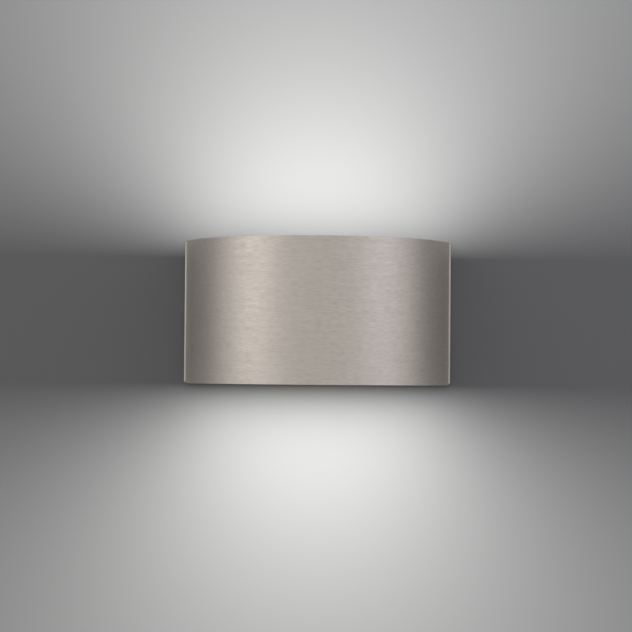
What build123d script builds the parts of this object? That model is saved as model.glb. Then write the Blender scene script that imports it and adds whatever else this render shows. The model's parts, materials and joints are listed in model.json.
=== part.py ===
from build123d import *
import os

# Curved up-and-down wall light: a brushed half tube of sheet metal, open at the top and the
# bottom, in front of a shallow base pan that carries the lamp's electrics.
# Millimetres. +X runs to the lamp's right as it is looked at, +Y goes into the wall, +Z is up.
# The origin lies in the wall plane, midway between the two wall-screw slots.
# "Depth" is measured out from the wall, so a depth of d is y = -d.

# ---- lamp as a whole ----
lamp_width = 224.0          # across the base pan
lamp_height = 120.0         # shade, rim to rim
lamp_depth = 88.0           # wall to the middle of the front
part_gap = 0.3              # clearance between the lift-off shade and what stays on the wall

# ---- base pan ----
pan_wall = 1.2
pan_margin = 0.5            # pan's top and bottom edges inside the shade's rims
pan_depth = 8.0
pan_edge_radius = 1.4       # folded edges and corners, which show as a thin bright line
slot_spacing = 120.0        # between the two wall-screw slots
slot_length = 10.0
slot_width = 4.5
dimple_margin = 4.5         # floor of a slot's dimple beyond the slot, for the screw's head
cable_hole_radius = 8.5
cable_hole_z = -20.0

# ---- shade ----
shade_wall = 1.2
shade_lip = 1.7             # pan edge that shows beside each wing
wing_width = 17.3           # of a wing as it is seen from the front
bend_depth = 40.5           # wall to the bend between the front and a wing
bend_radius = 30.0
rim_break = 0.3             # broken edge of the shade's rims

# ---- cable grommet ----
grommet_flange = 1.6
grommet_flange_width = 2.5
cable_radius = 4.25

# ---- side brackets and thumb screws ----
bracket_wall = 2.0
bracket_width = 11.0
arm_recess = 10.0           # rim to the outer face of a bracket's arm
bracket_reach = 19.0
rivet_radius = 2.0
rivet_head_radius = 3.5
rivet_head = 1.2
rivet_spacing = 56.0
screw_inset = 18.8          # wing's back edge to a thumb screw
screw_reach = 12.0          # pan's face to a thumb screw
thumb_radius = 2.0
thread_gap = 0.05           # running clearance of the thumb screw in its bush
bush_radius = 4.0
bush_height = 4.0
thumb_head_radius = 6.0
thumb_head = 5.5
knurl_count = 24
knurl_depth = 0.5
slot_groove = 1.2
washer_radius = 5.2
washer_thickness = 0.8
tip_length = 1.0            # thumb screw beyond its bush

# ---- shade lugs ----
lug_wall = 1.2
lug_length = 16.0           # along the wing, front to back
lug_reach = 6.5             # thumb screw to the lug's inner edge
lug_leg = 6.5
lug_slot_gap = 0.3

# ---- light trays and diffusers ----
rim_recess = 6.0            # rim down to the diffuser
diffuser_thickness = 2.5
light_gap = 3.0             # shade to tray
tray_end_inset = 28.3       # wing's back edge to a tray's end
tray_wall = 1.5
tray_depth = 9.0            # inside, floor to diffuser
tray_tab_inset = 16.0       # tray's end to the middle of a tab
tray_tab_width = 16.0
tray_tab_drop = 12.0
boss_radius = 3.5
boss_inset = 5.5            # tray's outer faces to the middle of a boss
wire_hole_radius = 3.2

# ---- lamp boards ----
board_end_inset = 12.0      # tray's end to the board's end
board_width = 18.0
board_thickness = 1.6
board_reach = 37.0          # pan's face to the middle of the board
board_screw_inset = 9.5     # board's end to a screw
led_length = 3.5
led_width = 2.8
led_height = 0.8
led_end_inset = 23.0        # board's end to the first diode
led_rows = 2
led_columns = 10
led_row_pitch = 8.0
connector_length = 5.0
connector_width = 7.0
connector_height = 4.0

# ---- driver ----
driver_length = 96.0
driver_height = 28.0
driver_depth = 24.0
driver_z = 14.5
driver_wall = 1.6
driver_lid = 2.0
lid_fit = 0.2
driver_ear = 9.0
driver_ear_rise = 5.0       # ears above the middle of the driver
driver_ear_thickness = 2.4
driver_board_thickness = 1.6
driver_board_lift = 3.0
transformer_length = 21.0
transformer_height = 19.0
transformer_depth = 12.0
transformer_x = 4.0
capacitor_radius = 5.0
capacitor_length = 17.0
capacitor_x = 30.0

# ---- terminal block and its release buttons ----
terminal_x = 32.0
terminal_z = -20.0
terminal_height = 18.0
terminal_depth = 16.0
pole_pitch = 9.0
pole_count = 3
terminal_cheek = 1.5        # housing beyond the outer poles
wire_entry_radius = 1.7
wire_entry_depth = 6.0
button_width = 4.0
button_proud = 2.4
button_travel = 1.2
button_pocket = 4.5
button_gap = 0.25
contact_width = 3.6
contact_height = 12.0
contact_thickness = 1.2

# ---- earth point ----
earth_x = -30.0
earth_z = -22.0
stud_radius = 2.0
stud_length = 9.0
lug_ring_radius = 4.4
lug_ring_thickness = 0.8
barrel_radius = 1.7
barrel_length = 5.0
barrel_offset = 7.5         # stud to the near end of the barrel
earth_washer_thickness = 0.7
nut_across_flats = 7.0
nut_height = 3.2
stud_gap = 0.1

# ---- leads ----
lead_radius = 0.9
lead_bend = 3.0
lead_pitch = 2.6
lead_inset = 6.5            # tray's end to where the lamp-board leads climb
lead_driver_depth = 13.0    # pan's face to the leads at the driver
lead_spread = 6.0           # leads above and below the middle of the driver
earth_lead_rise = 7.0       # earth lead above the terminal block

# ---- screws ----
screw_radius = 1.5
screw_hole_gap = 0.1
pan_head_radius = 2.8
pan_head_height = 1.8
countersink_radius = 2.8
fixing_length = 5.0         # from under a pan head

# ---- worked out from the sizes above ----
shade_half_width = lamp_width / 2 - shade_lip
bend_half_width = shade_half_width - wing_width
wing_depth = pan_depth + part_gap                   # the wings' back edges
run_out = lamp_depth                                # outline carried behind the wall, then cut off
wing_slope = (shade_half_width - bend_half_width) / (bend_depth - wing_depth)
rim_z = lamp_height / 2
pan_height = lamp_height - 2 * pan_margin
diffuser_top_z = rim_z - rim_recess
tray_top_z = diffuser_top_z - diffuser_thickness
tray_floor_z = tray_top_z - tray_depth
tray_inset = shade_wall + light_gap
tray_half_width = shade_half_width - tray_end_inset
tray_tab_x = tray_half_width - tray_tab_inset
lead_x = tray_half_width - lead_inset
screw_x = shade_half_width - screw_inset
pan_back_depth = pan_depth - pan_wall               # back of the pan's face
board_depth = pan_depth + board_reach
board_length = 2 * (tray_half_width - board_end_inset)
board_screw_x = board_length / 2 - board_screw_inset
led_pitch = (board_length - 2 * led_end_inset) / (led_columns - 1)
screw_depth = pan_depth + screw_reach
slot_places = [(-slot_spacing / 2, 0), (slot_spacing / 2, 0)]
tab_screw_z = tray_floor_z - tray_wall - tray_tab_drop / 2
tab_screw_places = [(x, z) for x in (-tray_tab_x, tray_tab_x) for z in (-tab_screw_z, tab_screw_z)]
rivet_places = [(x, z) for x in (-screw_x, screw_x) for z in (-rivet_spacing / 2, rivet_spacing / 2)]
ear_screw_x = driver_length / 2 + driver_ear / 2
ear_z = driver_z + driver_ear_rise
ear_places = [(-ear_screw_x, ear_z), (ear_screw_x, ear_z)]
terminal_width = pole_count * pole_pitch + 2 * terminal_cheek
terminal_top_z = terminal_z + terminal_height / 2
pole_places = [terminal_x + (pole - (pole_count - 1) / 2) * pole_pitch for pole in range(pole_count)]
arm_z = rim_z - arm_recess                          # outer faces of a side bracket's two arms
bracket_height = 2 * arm_z
lower_lug_z = -arm_z - part_gap                     # top of the lower lug's tab
washer_z = lower_lug_z - lug_wall - part_gap        # top of the thumb screw's washer
thumb_head_z = washer_z - washer_thickness          # top of the thumb screw's head
fixing_hole = screw_radius + screw_hole_gap


def tube_outline(inset, back_depth):
    """Outline of the half tube from above, inset from its outer face, cut off at back_depth."""
    rear_x = shade_half_width + wing_slope * (wing_depth + run_out)
    with BuildSketch() as outline:
        with BuildLine():
            Line((-rear_x, run_out), (-bend_half_width, -bend_depth))
            ThreePointArc((-bend_half_width, -bend_depth), (0, -lamp_depth), (bend_half_width, -bend_depth))
            Line((bend_half_width, -bend_depth), (rear_x, run_out))
            Line((rear_x, run_out), (-rear_x, run_out))
        make_face()
        fillet(outline.vertices().group_by(Axis.Y)[0], bend_radius)
        if inset > 0:
            offset(amount=-inset, kind=Kind.INTERSECTION)
        with Locations((0, -back_depth)):
            Rectangle(2 * rear_x, 2 * lamp_depth, align=(Align.CENTER, Align.MAX), mode=Mode.INTERSECT)
    return outline.sketch


def tray_outline(inset):
    """Outline of a light tray from above: the tube's inside with both ends cut square."""
    with BuildSketch() as outline:
        add(tube_outline(tray_inset + inset, pan_depth + inset))
        Rectangle(2 * (tray_half_width - inset), 4 * lamp_depth, mode=Mode.INTERSECT)
    return outline.sketch


def boss_places():
    """The three bosses in a tray that the diffuser is screwed to, seen from above."""
    side_x = tray_half_width - boss_inset
    front_y = -(lamp_depth - tray_inset - boss_inset)
    return [(-side_x, -pan_depth - boss_inset), (side_x, -pan_depth - boss_inset), (0, front_y)]


shade_outer = tube_outline(0, wing_depth)
shade_inner = tube_outline(shade_wall, -run_out / 2)
lug_inner = tube_outline(shade_wall + lug_wall, -run_out / 2)
tray_outer = tray_outline(0)
tray_inner = tray_outline(tray_wall)
boss_spots = boss_places()

# ================= what stays on the wall =================

with BuildPart() as pan_hollow:
    with BuildSketch(Plane.XZ):
        Rectangle(lamp_width - 2 * pan_wall, pan_height - 2 * pan_wall)
    extrude(amount=pan_back_depth)

# Folded steel pan, its open side to the wall, with two dimples that reach the wall for the screws
with BuildPart() as base_pan:
    with BuildSketch(Plane.XZ):
        Rectangle(lamp_width, pan_height)
    extrude(amount=pan_depth)
    pan_front_edges = base_pan.faces().sort_by(Axis.Y)[0].edges()
    fillet(pan_front_edges + base_pan.edges().filter_by(Axis.Y), pan_edge_radius)
    add(pan_hollow.part, mode=Mode.SUBTRACT)
    dimple_length = slot_length + 2 * dimple_margin
    dimple_width = slot_width + 2 * dimple_margin
    with BuildSketch(Plane.XZ):
        with Locations(*slot_places):
            SlotOverall(dimple_length + 2 * pan_wall, dimple_width + 2 * pan_wall)
    extrude(amount=pan_depth)
    with BuildSketch(Plane.XZ.offset(pan_wall)):
        with Locations(*slot_places):
            SlotOverall(dimple_length, dimple_width)
    extrude(amount=pan_depth, mode=Mode.SUBTRACT)
    with BuildSketch(Plane.XZ):
        with Locations(*slot_places):
            SlotOverall(slot_length, slot_width)
        with Locations((0, cable_hole_z)):
            Circle(cable_hole_radius)
        with Locations(*tab_screw_places, *ear_places):
            Circle(fixing_hole)
        with Locations(*rivet_places):
            Circle(rivet_radius)
    extrude(amount=pan_depth, mode=Mode.SUBTRACT)

# Rubber grommet round the supply cable
with BuildPart() as cable_grommet:
    flange_radius = cable_hole_radius + grommet_flange_width
    with BuildSketch(Plane.XZ.offset(pan_back_depth - grommet_flange)):
        with Locations((0, cable_hole_z)):
            Circle(flange_radius)
    extrude(amount=pan_wall + 2 * grommet_flange)
    with BuildSketch(Plane.XZ.offset(pan_back_depth)):
        with Locations((0, cable_hole_z)):
            Circle(flange_radius)
            Circle(cable_hole_radius, mode=Mode.SUBTRACT)
    extrude(amount=pan_wall, mode=Mode.SUBTRACT)
    with BuildSketch(Plane.XZ):
        with Locations((0, cable_hole_z)):
            Circle(cable_radius)
    extrude(amount=2 * pan_depth, mode=Mode.SUBTRACT)

# Bent steel bracket at each side: the shade hangs on its upper arm and is clamped to its lower arm
with BuildPart() as bracket_right:
    with BuildSketch(Plane.YZ.offset(screw_x)):
        with Locations((-pan_depth, 0)):
            Rectangle(bracket_reach, bracket_height, align=(Align.MAX, Align.CENTER))
        with Locations((-pan_depth - bracket_wall, 0)):
            Rectangle(
                bracket_reach,
                bracket_height - 2 * bracket_wall,
                align=(Align.MAX, Align.CENTER),
                mode=Mode.SUBTRACT,
            )
    extrude(amount=bracket_width / 2, both=True)
    fillet(
        bracket_right.edges().filter_by(Axis.X).group_by(Axis.Y)[-1], bracket_wall / 2
    )
    with BuildSketch(Plane.XZ):
        with Locations(*rivet_places):
            Circle(rivet_radius)
    extrude(amount=2 * pan_depth, mode=Mode.SUBTRACT)
    with BuildSketch(Plane.XY.offset(-arm_z)):
        with Locations((screw_x, -screw_depth)):
            Circle(thumb_radius + thread_gap)
    extrude(amount=bracket_wall, mode=Mode.SUBTRACT)

with BuildPart() as bracket_left:
    mirror(bracket_right.part, about=Plane.YZ)

# Threaded bush pressed on each lower arm
with BuildPart() as bush_right:
    with BuildSketch(Plane.XY.offset(bracket_wall - arm_z)):
        with Locations((screw_x, -screw_depth)):
            Circle(bush_radius)
            Circle(thumb_radius + thread_gap, mode=Mode.SUBTRACT)
    extrude(amount=bush_height)
    chamfer(bush_right.edges().filter_by(GeomType.CIRCLE).group_by(Axis.Z)[-1].sort_by(SortBy.RADIUS)[-1], 0.5)

with BuildPart() as bush_left:
    mirror(bush_right.part, about=Plane.YZ)

# Rivets that hold the side brackets on the pan
with BuildPart() as bracket_rivets:
    with BuildSketch(Plane.XZ.offset(pan_back_depth - rivet_head)):
        with Locations(*rivet_places):
            Circle(rivet_head_radius)
    extrude(amount=rivet_head)
    with BuildSketch(Plane.XZ.offset(pan_back_depth)):
        with Locations(*rivet_places):
            Circle(rivet_radius)
    extrude(amount=pan_wall + bracket_wall)
    with BuildSketch(Plane.XZ.offset(pan_depth + bracket_wall)):
        with Locations(*rivet_places):
            Circle(rivet_head_radius)
    extrude(amount=rivet_head)

# Light tray above the driver: floor, wall, three bosses for the diffuser and two tabs for the pan
with BuildPart() as up_tray:
    with BuildSketch(Plane.XY.offset(tray_floor_z - tray_wall)):
        add(tray_outer)
    extrude(amount=tray_wall + tray_depth)
    with BuildSketch(Plane.XY.offset(tray_floor_z)):
        add(tray_inner)
    extrude(amount=tray_depth, mode=Mode.SUBTRACT)
    with BuildSketch(Plane.XY.offset(tray_floor_z)):
        with Locations(*boss_spots):
            Circle(boss_radius)
    extrude(amount=tray_depth)
    with BuildSketch(Plane.XY.offset(tray_floor_z)):
        with Locations(*boss_spots):
            Circle(screw_radius)
    extrude(amount=tray_depth, mode=Mode.SUBTRACT)
    with BuildSketch(Plane.XY.offset(tray_floor_z - tray_wall)):
        with Locations((-lead_x, -pan_depth - lead_driver_depth)):
            Circle(wire_hole_radius)
        with Locations((-board_screw_x, -board_depth), (board_screw_x, -board_depth)):
            Circle(screw_radius)
    extrude(amount=tray_wall, mode=Mode.SUBTRACT)
    with BuildSketch(Plane.XZ.offset(pan_depth)):
        with Locations((-tray_tab_x, tray_floor_z), (tray_tab_x, tray_floor_z)):
            Rectangle(tray_tab_width, tray_wall + tray_tab_drop, align=(Align.CENTER, Align.MAX))
        with Locations(*tab_screw_places):
            Circle(fixing_hole, mode=Mode.SUBTRACT)
    extrude(amount=tray_wall)

with BuildPart() as down_tray:
    mirror(up_tray.part, about=Plane.XY)

# Screws that hold the trays' tabs on the pan
with BuildPart() as tray_screws:
    head_depth = pan_depth + tray_wall
    with BuildSketch(Plane.XZ.offset(head_depth - fixing_length)):
        with Locations(*tab_screw_places):
            Circle(screw_radius)
    extrude(amount=fixing_length)
    with BuildSketch(Plane.XZ.offset(head_depth)):
        with Locations(*tab_screw_places):
            Circle(pan_head_radius)
    extrude(amount=pan_head_height)

# Aluminium-backed lamp board on each tray's floor
with BuildPart() as up_board:
    with BuildSketch(Plane.XY.offset(tray_floor_z)):
        with Locations((0, -board_depth)):
            RectangleRounded(board_length, board_width, board_thickness)
            with Locations((-board_screw_x, 0), (board_screw_x, 0)):
                Circle(fixing_hole, mode=Mode.SUBTRACT)
    extrude(amount=board_thickness)

with BuildPart() as down_board:
    mirror(up_board.part, about=Plane.XY)

with BuildPart() as up_leds:
    with BuildSketch(Plane.XY.offset(tray_floor_z + board_thickness)):
        with Locations((0, -board_depth)):
            with GridLocations(led_pitch, led_row_pitch, led_columns, led_rows):
                Rectangle(led_length, led_width)
    extrude(amount=led_height)

with BuildPart() as down_leds:
    mirror(up_leds.part, about=Plane.XY)

# Screws that hold the lamp boards, tips flush with the trays' outer faces
with BuildPart() as board_screws:
    with BuildSketch(Plane.XY.offset(tray_floor_z - tray_wall)):
        with Locations((-board_screw_x, -board_depth), (board_screw_x, -board_depth)):
            Circle(screw_radius)
    extrude(amount=tray_wall + board_thickness)
    with BuildSketch(Plane.XY.offset(tray_floor_z + board_thickness)):
        with Locations((-board_screw_x, -board_depth), (board_screw_x, -board_depth)):
            Circle(pan_head_radius)
    extrude(amount=pan_head_height)
    mirror(about=Plane.XY)

# Plug-in connector at the left end of each lamp board
with BuildPart() as board_connectors:
    with BuildSketch(Plane.XY.offset(tray_floor_z + board_thickness)):
        with Locations((-board_length / 2, -board_depth)):
            Rectangle(connector_length, connector_width, align=(Align.MIN, Align.CENTER))
    extrude(amount=connector_height)
    mirror(about=Plane.XY)

# Opal diffuser screwed down on each tray
with BuildPart() as up_diffuser:
    with BuildSketch(Plane.XY.offset(tray_top_z)):
        add(tray_outer)
    extrude(amount=diffuser_thickness)
    with Locations(*[(x, y, diffuser_top_z) for x, y in boss_spots]):
        CounterSinkHole(fixing_hole, countersink_radius + screw_hole_gap, counter_sink_angle=90)

with BuildPart() as down_diffuser:
    mirror(up_diffuser.part, about=Plane.XY)

with BuildPart() as diffuser_screws:
    countersink_height = countersink_radius - screw_radius
    with BuildSketch(Plane.XY.offset(diffuser_top_z - countersink_height)):
        with Locations(*boss_spots):
            Circle(screw_radius)
    extrude(amount=-fixing_length)
    with Locations(*[(x, y, diffuser_top_z - countersink_height) for x, y in boss_spots]):
        Cone(
            screw_radius,
            countersink_radius,
            countersink_height,
            align=(Align.CENTER, Align.CENTER, Align.MIN),
        )
    mirror(about=Plane.XY)

# Driver: moulded case with two ears, lid, circuit board, transformer and two capacitors
with BuildPart() as driver_case:
    case_depth = driver_depth - driver_lid
    with BuildSketch(Plane.XZ.offset(pan_depth)):
        with Locations((0, driver_z)):
            RectangleRounded(driver_length, driver_height, driver_wall)
    extrude(amount=case_depth)
    with BuildSketch(Plane.XZ.offset(pan_depth)):
        with Locations((0, ear_z)):
            SlotOverall(driver_length + 2 * driver_ear, driver_ear + driver_ear_thickness)
    extrude(amount=driver_ear_thickness)
    with BuildSketch(Plane.XZ.offset(pan_depth + driver_wall)):
        with Locations((0, driver_z)):
            Rectangle(driver_length - 2 * driver_wall, driver_height - 2 * driver_wall)
    extrude(amount=case_depth, mode=Mode.SUBTRACT)
    with BuildSketch(Plane.XZ.offset(pan_depth)):
        with Locations(*ear_places):
            Circle(fixing_hole)
    extrude(amount=driver_ear_thickness, mode=Mode.SUBTRACT)

with BuildPart() as driver_cover:
    with BuildSketch(Plane.XZ.offset(pan_depth + driver_depth - driver_lid)):
        with Locations((0, driver_z)):
            RectangleRounded(driver_length, driver_height, driver_wall)
    extrude(amount=driver_lid)
    chamfer(driver_cover.faces().sort_by(Axis.Y)[0].edges(), driver_lid / 4)
    lip_inset = 2 * (driver_wall + lid_fit)
    with BuildSketch(Plane.XZ.offset(pan_depth + driver_depth - 2 * driver_lid)):
        with Locations((0, driver_z)):
            Rectangle(driver_length - lip_inset, driver_height - lip_inset)
            Rectangle(
                driver_length - lip_inset - 2 * driver_wall,
                driver_height - lip_inset - 2 * driver_wall,
                mode=Mode.SUBTRACT,
            )
    extrude(amount=driver_lid)

with BuildPart() as driver_board:
    board_back = pan_depth + driver_wall + driver_board_lift
    with BuildSketch(Plane.XZ.offset(board_back)):
        with Locations((0, driver_z)):
            Rectangle(driver_length - lip_inset, driver_height - lip_inset)
    extrude(amount=driver_board_thickness)
    # standing-off solder posts under the board's corners
    post_x = driver_length / 2 - 3 * driver_wall
    post_z = driver_height / 2 - 3 * driver_wall
    with BuildSketch(Plane.XZ.offset(pan_depth + driver_wall)):
        with Locations((0, driver_z)):
            with GridLocations(2 * post_x, 2 * post_z, 2, 2):
                Circle(driver_wall)
    extrude(amount=driver_board_lift)

with BuildPart() as driver_transformer:
    with BuildSketch(Plane.XZ.offset(board_back + driver_board_thickness)):
        with Locations((-transformer_x, driver_z)):
            Rectangle(transformer_length, transformer_height)
    extrude(amount=transformer_depth)
    chamfer(driver_transformer.edges().filter_by(Axis.Y), 1)

with BuildPart() as driver_capacitors:
    capacitor_depth = board_back + driver_board_thickness + capacitor_radius
    for middle_x in (-capacitor_x, capacitor_x):
        with BuildSketch(Plane.YZ.offset(middle_x - capacitor_length / 2)):
            with Locations((-capacitor_depth, driver_z)):
                Circle(capacitor_radius)
        extrude(amount=capacitor_length)

with BuildPart() as driver_screws:
    ear_head_depth = pan_depth + driver_ear_thickness
    with BuildSketch(Plane.XZ.offset(ear_head_depth - fixing_length)):
        with Locations(*ear_places):
            Circle(screw_radius)
    extrude(amount=fixing_length)
    with BuildSketch(Plane.XZ.offset(ear_head_depth)):
        with Locations(*ear_places):
            Circle(pan_head_radius)
    extrude(amount=pan_head_height)

# Three-pole push-in terminal block: wire entries below and above, a release button for each pole
with BuildPart() as terminal_block:
    with BuildSketch(Plane.XZ.offset(pan_depth)):
        with Locations((terminal_x, terminal_z)):
            Rectangle(terminal_width, terminal_height)
    extrude(amount=terminal_depth)
    chamfer(terminal_block.faces().sort_by(Axis.Y)[0].edges(), terminal_cheek / 2)
    with BuildSketch(Plane.XZ.offset(pan_depth + terminal_depth - button_pocket)):
        with Locations(*[(x, terminal_z) for x in pole_places]):
            Rectangle(button_width + 2 * button_gap, button_width + 2 * button_gap)
    extrude(amount=button_pocket, mode=Mode.SUBTRACT)
    with BuildSketch(Plane.XY.offset(terminal_z - terminal_height / 2)):
        with Locations(*[(x, -pan_depth - terminal_depth / 2) for x in pole_places]):
            Circle(wire_entry_radius)
    extrude(amount=wire_entry_depth, mode=Mode.SUBTRACT)
    contact_depth = pan_depth + contact_thickness
    with BuildSketch(Plane.XZ.offset(contact_depth)):
        with Locations(*[(x, terminal_z) for x in pole_places]):
            Rectangle(contact_width, contact_height)
    extrude(amount=contact_thickness, mode=Mode.SUBTRACT)

with BuildPart() as terminal_contacts:
    with BuildSketch(Plane.XZ.offset(contact_depth)):
        with Locations(*[(x, terminal_z) for x in pole_places]):
            Rectangle(contact_width, contact_height)
    extrude(amount=contact_thickness)

buttons = {}
for pole_name, pole_x in zip(("neutral", "live", "earth"), reversed(pole_places)):
    with BuildPart() as button:
        button_foot = pan_depth + terminal_depth - button_pocket + button_travel + button_gap
        button_height = button_pocket - button_travel - button_gap + button_proud
        with BuildSketch(Plane.XZ.offset(button_foot)):
            with Locations((pole_x, terminal_z)):
                Rectangle(button_width, button_width)
        extrude(amount=button_height)
        chamfer(button.faces().sort_by(Axis.Y)[0].edges(), button_gap)
    buttons[f"button_{pole_name}"] = button

# Earth point on the pan: welded stud, ring lug, toothed washer and nut
with BuildPart() as earth_stud:
    with BuildSketch(Plane.XZ.offset(pan_depth)):
        with Locations((earth_x, earth_z)):
            Circle(stud_radius)
    extrude(amount=stud_length)
    chamfer(earth_stud.faces().sort_by(Axis.Y)[0].edges(), stud_radius / 4)

with BuildPart() as earth_lug:
    with BuildSketch(Plane.XZ.offset(pan_depth)):
        with Locations((earth_x, earth_z)):
            Circle(lug_ring_radius)
            Rectangle(2 * barrel_radius, barrel_offset + barrel_length, align=(Align.CENTER, Align.MIN))
            Circle(stud_radius + stud_gap, mode=Mode.SUBTRACT)
    extrude(amount=lug_ring_thickness)
    with BuildSketch(Plane.XY.offset(earth_z + barrel_offset)):
        with Locations((earth_x, -pan_depth - barrel_radius)):
            Circle(barrel_radius)
    extrude(amount=barrel_length)

with BuildPart() as earth_washer:
    tooth_count = 10
    tooth_depth = 0.5
    washer_rim = lug_ring_radius - tooth_depth
    with BuildSketch(Plane.XZ.offset(pan_depth + lug_ring_thickness)):
        with Locations((earth_x, earth_z)):
            Circle(washer_rim)
            with PolarLocations(washer_rim, tooth_count):
                Rectangle(2 * tooth_depth, 2 * tooth_depth)
            Circle(stud_radius + stud_gap, mode=Mode.SUBTRACT)
    extrude(amount=earth_washer_thickness)

with BuildPart() as earth_nut:
    with BuildSketch(Plane.XZ.offset(pan_depth + lug_ring_thickness + earth_washer_thickness)):
        with Locations((earth_x, earth_z)):
            RegularPolygon(nut_across_flats / 2, 6, major_radius=False)
            Circle(stud_radius, mode=Mode.SUBTRACT)
    extrude(amount=nut_height)

# Leads: supply to driver, earth to pan, driver to both lamp boards
with BuildPart() as mains_leads:
    driver_bottom_z = driver_z - driver_height / 2
    with BuildSketch(Plane.XY.offset(terminal_top_z)):
        with Locations(*[(x, -pan_depth - terminal_depth / 2) for x in pole_places[1:]]):
            Circle(lead_radius)
    extrude(amount=driver_bottom_z - terminal_top_z)

with BuildPart() as earth_lead:
    barrel_y = -pan_depth - barrel_radius
    earth_lead_z = terminal_top_z + earth_lead_rise
    with BuildLine() as earth_route:
        FilletPolyline(
            (pole_places[0], -pan_depth - terminal_depth / 2, terminal_top_z),
            (pole_places[0], -pan_depth - terminal_depth / 2, earth_lead_z),
            (earth_x, barrel_y, earth_lead_z),
            (earth_x, barrel_y, earth_z + barrel_offset + barrel_length),
            radius=lead_bend,
        )
    with BuildSketch(Plane(origin=earth_route.line @ 0, z_dir=earth_route.line % 0)):
        Circle(lead_radius)
    sweep()


def board_leads(start_z, board_z):
    """Two leads from the driver's left end, up or down beside the trays' tabs, to a lamp board."""
    start_y = -pan_depth - lead_driver_depth
    with BuildPart() as leads:
        for side in (-lead_pitch / 2, lead_pitch / 2):
            with BuildLine() as route:
                FilletPolyline(
                    (-driver_length / 2, start_y + side, start_z),
                    (-lead_x - side, start_y + side, start_z),
                    (-lead_x - side, start_y + side, board_z),
                    (-lead_x - side, -board_depth - side, board_z),
                    (-board_length / 2, -board_depth - side, board_z),
                    radius=lead_bend,
                )
            with BuildSketch(Plane(origin=route.line @ 0, z_dir=route.line % 0)):
                Circle(lead_radius)
            sweep()
    return leads


connector_z = tray_floor_z + board_thickness + connector_height / 2
up_leads = board_leads(driver_z + lead_spread, connector_z)
down_leads = board_leads(driver_z - lead_spread, -connector_z)

# ================= the shade, which slides off forwards =================

with BuildPart() as shade:
    with BuildSketch(Plane.XY.offset(-rim_z)):
        add(shade_outer)
        add(shade_inner, mode=Mode.SUBTRACT)
    extrude(amount=lamp_height)
    rims = shade.faces().filter_by(Axis.Z)
    chamfer(rims.edges(), rim_break)


# Bent lugs welded inside the wings. The upper pair hangs on the brackets' upper arms; the lower
# pair lies under their lower arms, with slots open to the wall, so the shade slides off forwards.
with BuildSketch() as lug_tab:
    add(shade_inner)
    with Locations((screw_x - lug_reach, -screw_depth)):
        Rectangle(lamp_width, lug_length, align=(Align.MIN, Align.CENTER), mode=Mode.INTERSECT)

with BuildSketch() as lug_leg_section:
    add(lug_tab.sketch)
    add(lug_inner, mode=Mode.SUBTRACT)

with BuildPart() as upper_lug_right:
    with BuildSketch(Plane.XY.offset(arm_z + part_gap)):
        add(lug_tab.sketch)
    extrude(amount=lug_wall)
    with BuildSketch(Plane.XY.offset(arm_z + part_gap)):
        add(lug_leg_section.sketch)
    extrude(amount=lug_leg)

with BuildPart() as upper_lug_left:
    mirror(upper_lug_right.part, about=Plane.YZ)

with BuildPart() as lower_lug_right:
    with BuildSketch(Plane.XY.offset(lower_lug_z)):
        add(lug_tab.sketch)
        with Locations((screw_x, -screw_depth)):
            Circle(thumb_radius + lug_slot_gap, mode=Mode.SUBTRACT)
            Rectangle(
                2 * (thumb_radius + lug_slot_gap),
                lug_length,
                align=(Align.CENTER, Align.MIN),
                mode=Mode.SUBTRACT,
            )
    extrude(amount=-lug_wall)
    with BuildSketch(Plane.XY.offset(lower_lug_z)):
        add(lug_leg_section.sketch)
    extrude(amount=-lug_leg)

with BuildPart() as lower_lug_left:
    mirror(lower_lug_right.part, about=Plane.YZ)

# ================= thumb screws under the lower arms =================

with BuildPart() as thumb_washer_right:
    with BuildSketch(Plane.XY.offset(washer_z)):
        with Locations((screw_x, -screw_depth)):
            Circle(washer_radius)
            Circle(thumb_radius + thread_gap, mode=Mode.SUBTRACT)
    extrude(amount=-washer_thickness)

with BuildPart() as thumb_washer_left:
    mirror(thumb_washer_right.part, about=Plane.YZ)

# Knurled head with a coin slot, and a plain shank where the thread is
with BuildPart() as thumb_screw_right:
    with BuildSketch(Plane.XY.offset(thumb_head_z)):
        with Locations((screw_x, -screw_depth)):
            Circle(thumb_head_radius)
    extrude(amount=-thumb_head)
    chamfer(thumb_screw_right.edges().filter_by(GeomType.CIRCLE), knurl_depth)
    with BuildSketch(Plane.XY.offset(thumb_head_z)):
        with Locations((screw_x, -screw_depth)):
            with PolarLocations(thumb_head_radius, knurl_count):
                Circle(knurl_depth)
    extrude(amount=-thumb_head, mode=Mode.SUBTRACT)
    with BuildSketch(Plane.XY.offset(thumb_head_z - thumb_head)):
        with Locations((screw_x, -screw_depth)):
            Rectangle(2 * thumb_head_radius, slot_groove)
    extrude(amount=slot_groove, mode=Mode.SUBTRACT)
    thumb_tip_z = bracket_wall + bush_height + tip_length - arm_z
    with BuildSketch(Plane.XY.offset(thumb_head_z)):
        with Locations((screw_x, -screw_depth)):
            Circle(thumb_radius)
    extrude(amount=thumb_tip_z - thumb_head_z)
    chamfer(thumb_screw_right.faces().sort_by(Axis.Z)[-1].edges(), thumb_radius / 4)

with BuildPart() as thumb_screw_left:
    mirror(thumb_screw_right.part, about=Plane.YZ)

# ================= one file for each piece =================

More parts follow.
